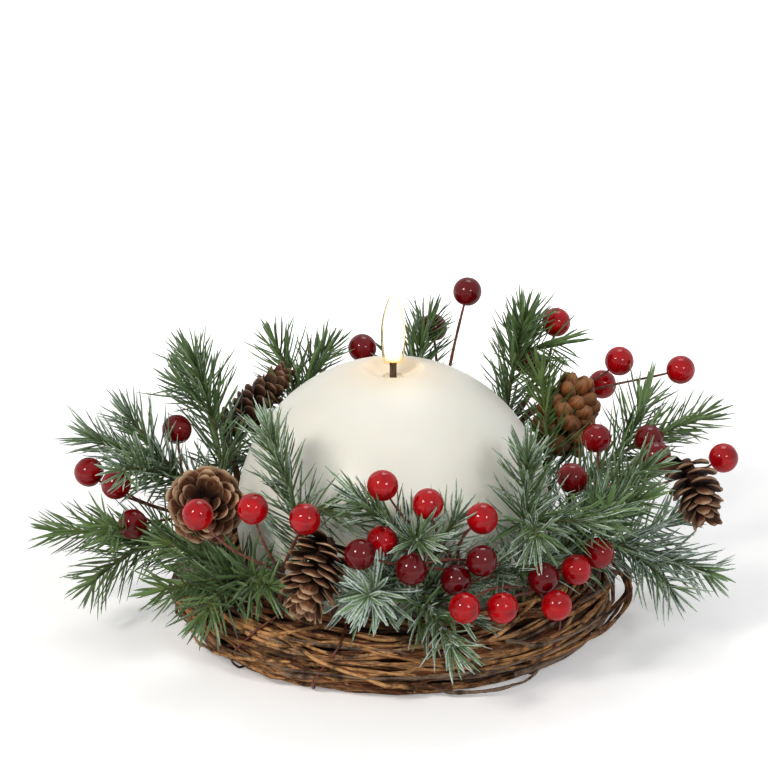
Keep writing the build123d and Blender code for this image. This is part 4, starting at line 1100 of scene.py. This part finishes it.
class RING_OT_pine_cones(bpy.types.Operator):
    """Set the scales of the five pine cones in golden-angle turns on their hearts"""

    bl_idname = "ring.pine_cones"
    bl_label = "Pine cones"

    def execute(self, context):
        twigs = context.scene.ring_twigs
        material = cone_material(context.scene.ring_pine)
        for number, (name, row) in enumerate(CONES.items()):
            points, faces, values, uv = self.cone(np.random.default_rng(SEED + 40 + number), twigs, *row)
            obj = piece("cone_scales_" + name, points, faces, material, values, uv=uv)
            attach(obj, "ring")
            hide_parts("cone_" + name)
        return {"FINISHED"}

    def cone(self, rng, twigs, root, bend_share, foot_place, tip_place, radius, *scales):
        """One cone: a tapering heart, its scales and the stem that holds it."""
        foot = crown(twigs, *foot_place)
        tip = crown(twigs, *tip_place)
        axis = unit(tip - foot)
        tall = np.linalg.norm(tip - foot)
        (own_points, own_faces), out, lip, uv = self.scales(rng, foot, axis, tall, radius, *scales)
        thickness, heart_share = scales[4:6]
        heart_path = np.linspace(foot - axis * 0.02 * tall, foot + axis * tall * 0.7, HEART_STATIONS)
        bulge = np.sin(np.linspace(0.7, 2.9, HEART_STATIONS)) ** 0.8
        heart = rod(heart_path, radius * (heart_share + 0.04) * bulge, HEART_CORNERS, ODD_WAY)
        stem_path = np.concatenate(rooted(twigs, root, bend_share * DIP_RIM, foot + axis, CONE_STEM_STATIONS))
        stem = rod(stem_path, np.linspace(*CONE_STEM_RADII, len(stem_path)), CONE_STEM_CORNERS)
        points, faces = join([heart, stem, (own_points, own_faces)])
        extra = len(points) - len(own_points)
        values = {
            # The heart and the stem get the painted shade too, mostly dark.
            "out": np.concatenate([np.full(extra, 0.3), out]),
            "lip": np.concatenate([np.zeros(extra), lip]),
            "warm": np.full(len(points), 1.0 if thickness > CLOSED_THICKNESS else 0.15),
        }
        return points, faces, values, np.concatenate([np.zeros((extra, 2)), uv])

    def scales(
        self, rng, foot, axis, tall, radius, count, spread, closed, width, thickness, heart_share, lightness
    ):
        """The scales, how far out each of their points is, which sets their painted shade, how worn its lip,
        and their UV.
        """
        share = (np.arange(count) + 0.3) / count
        place = share**0.9
        out = golden_ways(rng, axis, count, 0.14)
        lean = spread + (closed - spread) * share**1.3 + rng.normal(0, LEAN_JITTER, count)
        lean = np.radians(lean)[:, None]
        heart = radius * heart_share * (1 - 0.7 * place)
        envelope = radius * np.sqrt(np.clip(1 - ((place - 0.34) / 0.78) ** 2, 0.04, 1))
        size = (envelope - heart * 0.6) / np.maximum(np.sin(lean[:, 0]), 0.55)
        size = np.clip(size, 0.28 * radius, 0.95 * radius) * rng.uniform(0.86, 1.06, count)
        ahead = np.cos(lean[:, 0]) * size
        start = foot + axis * (place * (tall - ahead))[:, None] + out * heart[:, None] * 0.6
        direction = axis * np.cos(lean) + out * np.sin(lean)
        along = np.linspace(0, 1, len(SCALE_WIDTH))[:, None]
        curl = axis * (0.16 + 0.05 * rng.normal(0, 1, (count, 1))) - out * 0.05
        way = direction[:, None] * along + curl[:, None] * along**2.4
        paths = start[:, None] + size[:, None, None] * way
        half = width * radius * (1.0 - 0.45 * share**2) * rng.uniform(0.92, 1.06, count)
        thick = thickness * radius * (1.0 - 0.35 * share)[:, None] * SCALE_THICK
        paths = clear_of_candle(paths, radius * 0.1)
        made = sweep(paths, half[:, None] * SCALE_WIDTH, thick, SCALE_CORNERS, axis, cup=SCALE_CUP)
        turns = np.arange(SCALE_CORNERS) / SCALE_CORNERS
        rim = 0.8 * np.abs(np.cos(2 * np.pi * turns)) ** 12 * np.clip(along * 2 - 0.8, 0, 1)
        edge = np.clip(np.clip((along - 0.90) / 0.10, 0, 1) + rim, 0, 1)
        worn = (0.3 + 0.7 * lightness) * (0.3 if thickness > CLOSED_THICKNESS else 1.0)
        outward = np.broadcast_to(along, (count, *edge.shape))
        bright = rng.uniform(0.7, 1.1, (count, 1, 1))
        round_share = np.broadcast_to(turns + rng.uniform(0, 9, (count, 1, 1)), outward.shape)
        uv = np.stack([round_share.ravel(), (outward * size[:, None, None] / 10).ravel()], 1)
        # Painted shade: dark at the foot of each scale, lighter out to its tip.
        shown = np.clip(outward**1.9 * (0.38 + 0.52 * lightness) * bright, 0, 1)
        return made, shown.ravel(), np.clip(edge * worn * bright, 0, 1).ravel(), uv


# Berries

PICKS = {
    # root bearing, fork place, berries (bearing, reach share, rise share, wire's droop), red share
    "a": (233, (240, 1.16, 0.50),
        [(226, 1.47, 0.70, 2), (236, 1.31, 0.73, 2), (249, 1.28, 0.72, 0.2)], [1, 1, 0.9]),
    "b": (307, (302, 1.12, 0.48),
        [(262.5, 1.33, 0.62, 1.2), (267, 1.14, 0.62, 1.0), (274, 1.31, 0.56, -1.0), (285, 1.25, 0.49, 0.8),
         (291, 1.28, 0.56, 0)], [0.1, 0.9, 0.05, 0.0, 0.05]),
    "c": (322, (312, 1.14, 0.33),
        [(285, 1.42, 0.43, -1.8), (294, 1.39, 0.40, -0.8), (307, 1.42, 0.37, 0.4)], [1, 1, 0.95]),
    "d": (329, (322, 1.18, 0.40),
        [(308, 1.28, 0.44, 0.4), (316, 1.34, 0.45, 0.6), (326, 1.32, 0.46, 0.6)], [0.1, 0.9, 0.4]),
    "e": (293, (286, 1.04, 0.56),
        [(267, 1.09, 0.82, 1.6), (279, 1.14, 0.76, 1.0), (294, 1.14, 0.68, 0)], [0.95, 0.9, 0.95]),
    "f": (5, (5, 1.16, 0.48),
        [(4.4, 1.83, 0.60, 1.2), (11, 1.45, 0.64, 0.8), (2, 1.45, 0.63, 0.8), (7, 1.13, 0.68, 0),
         (338, 1.04, 0.66, 0.6)], [0.9, 0.1, 0.15, 0.4, 0.3]),
    "g": (60, (49, 1.30, 0.67),
        [(42, 1.24, 0.98, 0.8), (33, 1.53, 0.82, 1.4), (23, 1.76, 0.82, 0.6), (39, 1.54, 0.69, 0.4),
         (49, 1.16, 0.81, 0)], [0.95, 0.95, 0.9, 0.9, 0.8]),
    "h": (74, (76, 1.14, 0.60),
        [(69, 1.19, 1.04, 0), (79, 1.22, 0.87, 0), (99, 1.11, 0.81, 1.2)], [0.15, 0.1, 0.2]),
    "i": (180, (182, 1.14, 0.44),
        [(180, 1.67, 0.58, 1.4), (187, 1.52, 0.58, 1.0), (193, 1.45, 0.46, 0.4), (167, 1.23, 0.68, 0.4)],
        [0.5, 0.4, 0.2, 0.15]),
}
WIRE_LEAN = 0.55
DROOP_STEP = 6.0
WRAP_CORNERS = 14
WRAP_PITCH = 3.2
WRAP_FLATNESS = 0.85
PICK_STEM_RADII = (1.35, 1.1)
PICK_WIRE_RADII = (0.85, 0.5)
PICK_STEM_STATIONS = 22
PICK_WIRE_STATIONS = 28
FORK_STATION = -14
STEM_END_STATION = -12
BERRY_ROWS = 25
BERRY_SIDES = 36


def pick_paths(twigs, berry_radius, root, fork_place, places):
    """A pick's stem, its berry wires, and each berry's middle with the way its wire comes in."""
    fork = crown(twigs, *fork_place)
    bend = (STEM_FREE_HEIGHT + fork[2]) / 2
    stem = np.concatenate(rooted(twigs, root, bend, fork, PICK_STEM_STATIONS))
    wires = []
    for *place, droop in places:
        middle = crown(twigs, *place)
        control = WIRE_LEAN * middle + (1 - WIRE_LEAN) * fork - np.array([0, 0, droop * DROOP_STEP])
        along = unit(middle - control)
        end = middle - along * berry_radius * 0.9
        wires.append((curve([stem[FORK_STATION], fork, control, end], PICK_WIRE_STATIONS), middle, along))
    return stem[:STEM_END_STATION], wires


def berry_shape(middle, along, radius, rng):
    """A sphere that is a little pear-shaped, with a dimple where its wire goes in."""
    turns = np.linspace(0, math.pi, BERRY_ROWS)
    near_foot = np.exp(-((turns / 0.30) ** 2))
    near_tip = np.exp(-(((math.pi - turns) / 0.2) ** 2))
    height = 0.12 * near_foot - 0.035 * near_tip - np.cos(turns)
    profile = np.stack([radius * np.sin(turns), radius * height], 1)
    profile[[0, -1], 0] = 0
    points, faces = lathe(profile, BERRY_SIDES)
    angle = np.arctan2(points[:, 1], points[:, 0])
    lobes = 1 + 0.012 * np.cos(2 * angle + rng.uniform(0, 6)) + 0.008 * np.cos(3 * angle + rng.uniform(0, 6))
    points[:, :2] *= lobes[:, None]
    return middle + points @ np.stack([*across(along), along]), faces


def berry_material(settings):
    """Lacquered foam berries: a deep red under a clear, wet-looking coat."""
    material, tree, shader = surface(
        "lacquered berries", Roughness=0.40, Specular_IOR_Level=0.0, Coat_Roughness=0.04, Coat_IOR=1.33,
        Coat_Tint=linear("#dc9a9a"),
    )
    facing = add(tree, "ShaderNodeLayerWeight").outputs["Facing"]
    plug(shader, Coat_Weight=ramp(tree, facing, (0.45, 1.0), (0.95, 0.25)))
    cloud = ramp(tree, noise(tree, 170), (0.32, 0.5), (0.60, 1.0))
    tint = maths(tree, "MULTIPLY", value_at(tree, "red"), cloud)
    shade = mixed(tree, tint, settings.burgundy, settings.red)
    shade = mixed(tree, value_at(tree, "calyx"), shade, linear("#20100c"))
    finish(shader, shade, noise(tree, 420, 2.0), 0.00012, 0.35)
    return material


def stem_material(settings):
    """Paper tape wound round wire: maroon, with a dark line at each overlap."""
    material, tree, shader = surface("paper-wrapped wire", Roughness=0.7, IOR=1.45)
    turned = add(tree, "ShaderNodeSeparateXYZ", ("Vector", uv_place(tree)))
    lap = maths(tree, "FRACT", maths(tree, "ADD", turned.outputs[0], turned.outputs[1]))
    crease = noise(tree, 700, 4.0, 0.65)
    stops = [(0.0, 1.0), (0.22, 0.0), (0.85, 0.0), (1.0, 0.8)]
    shade = blend(tree, settings.paper, settings.paper_dark, lap, *stops)
    shade = blend(tree, shade, linear("#8d5544"), crease, (0.40, 0.0), (0.70, 0.75))
    finish(shader, shade, maths(tree, "ADD", lap, crease), 0.0003, 0.7)
    return material


class RING_OT_berry_picks(bpy.types.Operator):
    """Hang the lacquered berries on their wrapped, forking wires"""

    bl_idname = "ring.berry_picks"
    bl_label = "Berry picks"

    def execute(self, context):
        settings = context.scene.ring_berries
        lacquer = berry_material(settings)
        paper = stem_material(settings)
        radius = settings.berry_radius / MM
        for number, (name, (*rooting, places, reds)) in enumerate(PICKS.items()):
            rng = np.random.default_rng(SEED + 60 + number)
            stem, wires = pick_paths(context.scene.ring_twigs, radius, *rooting, places)
            obj = piece("berries_red_" + name, *self.berries(rng, radius, wires, reds, lacquer))
            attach(obj, "ring")
            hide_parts("berries_" + name)
            obj = piece("wrapped_stems_" + name, *self.wraps(rng, stem, wires, paper))
            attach(obj, "ring")
            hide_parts("berry_stems_" + name)
        return {"FINISHED"}

    def berries(self, rng, radius, wires, reds, material):
        """The berries of a pick, with their redness and the dark spot where each wire goes in."""
        parts = []
        red = []
        calyx = []
        for (_, middle, along), share in zip(wires, reds):
            points, faces = berry_shape(middle, along, radius * rng.uniform(0.97, 1.0), rng)
            parts.append((points, faces))
            red.append(np.full(len(points), share))
            from_foot = np.linalg.norm(points - (middle - along * radius * 0.88), axis=1)
            calyx.append(np.clip(1.3 - from_foot / 1.3, 0, 1))
        return *join(parts), material, {"red": np.concatenate(red), "calyx": np.concatenate(calyx)}

    def wraps(self, rng, stem, wires, material):
        """The wrapped stem and wires of a pick, with a UV that winds round them like the tape."""
        tubes = []
        uvs = []
        for path, radii in [(stem, PICK_STEM_RADII)] + [(wire, PICK_WIRE_RADII) for wire, _, _ in wires]:
            count = len(path)
            wave = 1 + 0.10 * np.sin(np.linspace(0, 26, count) + rng.uniform(0, 6))
            wave = wave + rng.normal(0, 0.04, count)
            tubes.append(rod(path, np.linspace(*radii, count) * wave, WRAP_CORNERS, flatness=WRAP_FLATNESS))
            far = np.concatenate([[0], np.cumsum(np.linalg.norm(np.diff(path, axis=0), axis=1))])
            round_share = np.tile(np.arange(WRAP_CORNERS) / WRAP_CORNERS, count)
            turns = np.repeat(far / WRAP_PITCH, WRAP_CORNERS)
            uvs.append(np.stack([np.abs(round_share - 0.5) * 2, turns], 1))
        return *join(tubes), material, None, True, np.concatenate(uvs)


# Finishes of the CAD nodes that keep their shape

KEPT = [
    # nodes, finish, base colour, second colour, pattern cells a metre, roughness, metallic, bump
    (("base_plate", "battery_door", "battery_case"),
        "moulded polypropylene", "#e9e3d3", "#e0d8c6", 900, 0.5, 0, 4e-5),
    (("power_switch",), "moulded black ABS", "#1d1c1b", "#34322f", 1600, 0.45, 0, 5e-5),
    (("batteries",), "printed foil cell wrap", "#57697c", "#3f4e5e", 300, 0.3, 0.5, 1e-5),
    (("battery_contacts",), "nickel-plated spring steel", "#c9c6bd", "#9d9a92", 1200, 0.28, 1.0, 1e-5),
    (("circuit_board",), "glass-epoxy board with solder mask", "#1f5b3a", "#2f7a4f", 700, 0.4, 0, 2e-5),
    (("base_screws",), "zinc-plated steel", "#b9bcc0", "#8b8f95", 1500, 0.35, 1.0, 1e-5),
    (("flame_post",), "moulded nylon", "#efe6cf", "#ddd0b2", 800, 0.45, 0, 3e-5),
    (("led",), "clear yellow epoxy", "#ffdf9d", "#ffcc6a", 400, 0.12, 0, 1e-5),
    (("led_leads",), "PVC lead sleeve", "#a32420", "#7d1c1a", 900, 0.5, 0, 3e-5),
]


class RING_OT_finishes(bpy.types.Operator):
    """Give the plain CAD nodes their moulded, plated and printed finishes"""

    bl_idname = "ring.finishes"
    bl_label = "Finishes of the works"

    def execute(self, context):
        for names, made_of, first, second, cells, roughness, metallic, depth in KEPT:
            material, tree, shader = surface(made_of, Roughness=roughness, Metallic=metallic)
            grain = noise(tree, cells)
            tone = blend(tree, linear(first), linear(second), grain, (0.35, 0.0), (0.7, 1.0))
            finish(shader, tone, grain, depth, 0.6)
            for name in names:
                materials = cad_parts[name].data.materials
                materials.clear()
                materials.append(material)
        return {"FINISHED"}


# Stage

AIM = np.array([-3.6, 0.0, 98.8])
CAMERA_DISTANCE = 1500.0
CAMERA_ELEVATION = 20.0
LENS = 178.0
SENSOR_WIDTH = 36
CLIP_END = 20
DAYLIGHT = 0.30
FLOOR_HALF = 3000.0
WHITE = (1, 1, 1, 1)
LAMPS = [
    # name, bearing from the camera's, elevation, distance, width, watts, colour
    ("key softbox", -41, 36, 1300, 250, 8.2, "#fffaf4"),
    ("fill softbox", 31, 28, 1300, 240, 4.2, "#f8faff"),
    ("top softbox", 165, 62, 1200, 500, 3.6, "#ffffff"),
]


def stand(scene, name, data, turn, elevation, distance):
    """Stand a lamp or the camera round the aim, by degrees from the camera's side, and look at it."""
    turn = math.radians(turn - 90)
    up = math.radians(elevation)
    flat = math.cos(up) * distance
    obj = bpy.data.objects.new(name, data)
    obj.location = (AIM + [flat * math.cos(turn), flat * math.sin(turn), math.sin(up) * distance]) * MM
    obj.rotation_euler = (Vector(AIM * MM) - obj.location).to_track_quat("-Z", "Y").to_euler()
    scene.collection.objects.link(obj)
    return obj


def shown_rays(tree):
    """1 for rays that show the backdrop: to the camera, in reflections and through glass."""
    rays = add(tree, "ShaderNodeLightPath").outputs
    mirrored = maths(tree, "MAXIMUM", rays["Is Camera Ray"], rays["Is Glossy Ray"])
    return maths(tree, "MAXIMUM", mirrored, rays["Is Transmission Ray"])


class RING_OT_stage(bpy.types.Operator):
    """Lay the white floor, and place the camera and the softboxes"""

    bl_idname = "ring.stage"
    bl_label = "Stage"

    def execute(self, context):
        scene = context.scene
        lens = bpy.data.cameras.new("camera")
        lens.lens = LENS
        lens.sensor_width = SENSOR_WIDTH
        lens.clip_end = CLIP_END
        scene.camera = stand(scene, "camera", lens, 0, CAMERA_ELEVATION, CAMERA_DISTANCE)
        for name, turn, elevation, distance, width, watts, code in LAMPS:
            light = bpy.data.lights.new(name, "AREA")
            light.shape = "SQUARE"
            light.size = width * MM
            light.energy = watts
            light.color = linear(code)[:3]
            stand(scene, name, light, turn, elevation, distance)
        self.floor()
        self.world(scene)
        scene.view_settings.view_transform = "Standard"
        return {"FINISHED"}

    def floor(self):
        """A white floor: plain white to the camera, but for the soft shadow under the ring."""
        points = np.array([(-1, -1, 0), (1, -1, 0), (1, 1, 0), (-1, 1, 0)]) * FLOOR_HALF
        material, tree, shader = surface(
            "white paper floor", Roughness=0.9, Specular_IOR_Level=0.1, Emission_Color=WHITE
        )
        tone = mixed(tree, noise(tree, 300, 2.0), WHITE, linear("#fbfbfb"))
        away = add(tree, "ShaderNodeVectorMath", (0, object_place(tree)), operation="LENGTH").outputs["Value"]
        lift = mapped(tree, away, (0.15, 0.45), (0.28, 0.85), "SMOOTHERSTEP")
        lifted = maths(tree, "MULTIPLY", shown_rays(tree), lift)
        plug(shader, Base_Color=tone, Emission_Strength=lifted)
        floor = piece("floor", points, [np.array([[0, 1, 2, 3]])], material)

    def world(self, scene):
        """Plain daylight on the object, and white behind it to the camera and to reflections."""
        scene.world = bpy.data.worlds.new("studio")
        scene.world.use_nodes = True
        tree = scene.world.node_tree
        light = tree.nodes["Background"]
        plug(light, Color=WHITE, Strength=DAYLIGHT)
        white = add(tree, "ShaderNodeBackground", ("Color", WHITE), ("Strength", 1.0))
        both = add(
            tree, "ShaderNodeMixShader", (0, shown_rays(tree)), (1, light.outputs[0]), (2, white.outputs[0])
        )
        plug(tree.nodes["World Output"], Surface=both.outputs[0])


# The add-on

STEPS = [
    RING_OT_wax_ball,
    RING_OT_flame,
    RING_OT_twig_bundle,
    RING_OT_stray_twigs,
    RING_OT_binding_wires,
    RING_OT_pine_sprigs,
    RING_OT_pine_cones,
    RING_OT_berry_picks,
    RING_OT_finishes,
    RING_OT_stage,
]
GROUPS = {
    "ring_candle": CandleSettings,
    "ring_twigs": RingSettings,
    "ring_pine": PineSettings,
    "ring_berries": BerrySettings,
}


class RING_PT_panel(bpy.types.Panel):
    """The steps of the candle ring, and their sizes and colours"""

    bl_idname = "RING_PT_panel"
    bl_label = "Candle ring"
    bl_space_type = "VIEW_3D"
    bl_region_type = "UI"
    bl_category = "Candle ring"

    def draw(self, context):
        for step in STEPS:
            self.layout.operator(step.bl_idname)
        for group in GROUPS:
            settings = getattr(context.scene, group)
            for name in settings.__annotations__:
                self.layout.prop(settings, name)


def register():
    for cls in (*GROUPS.values(), *STEPS, RING_PT_panel):
        bpy.utils.register_class(cls)
    for name, group in GROUPS.items():
        setattr(bpy.types.Scene, name, PointerProperty(type=group))


def unregister():
    for name in GROUPS:
        delattr(bpy.types.Scene, name)
    for cls in reversed((*GROUPS.values(), *STEPS, RING_PT_panel)):
        bpy.utils.unregister_class(cls)


def main():
    register()
    for step in STEPS:
        group, name = step.bl_idname.split(".")
        getattr(getattr(bpy.ops, group), name)()
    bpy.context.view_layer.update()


if __name__ == "__main__":
    main()
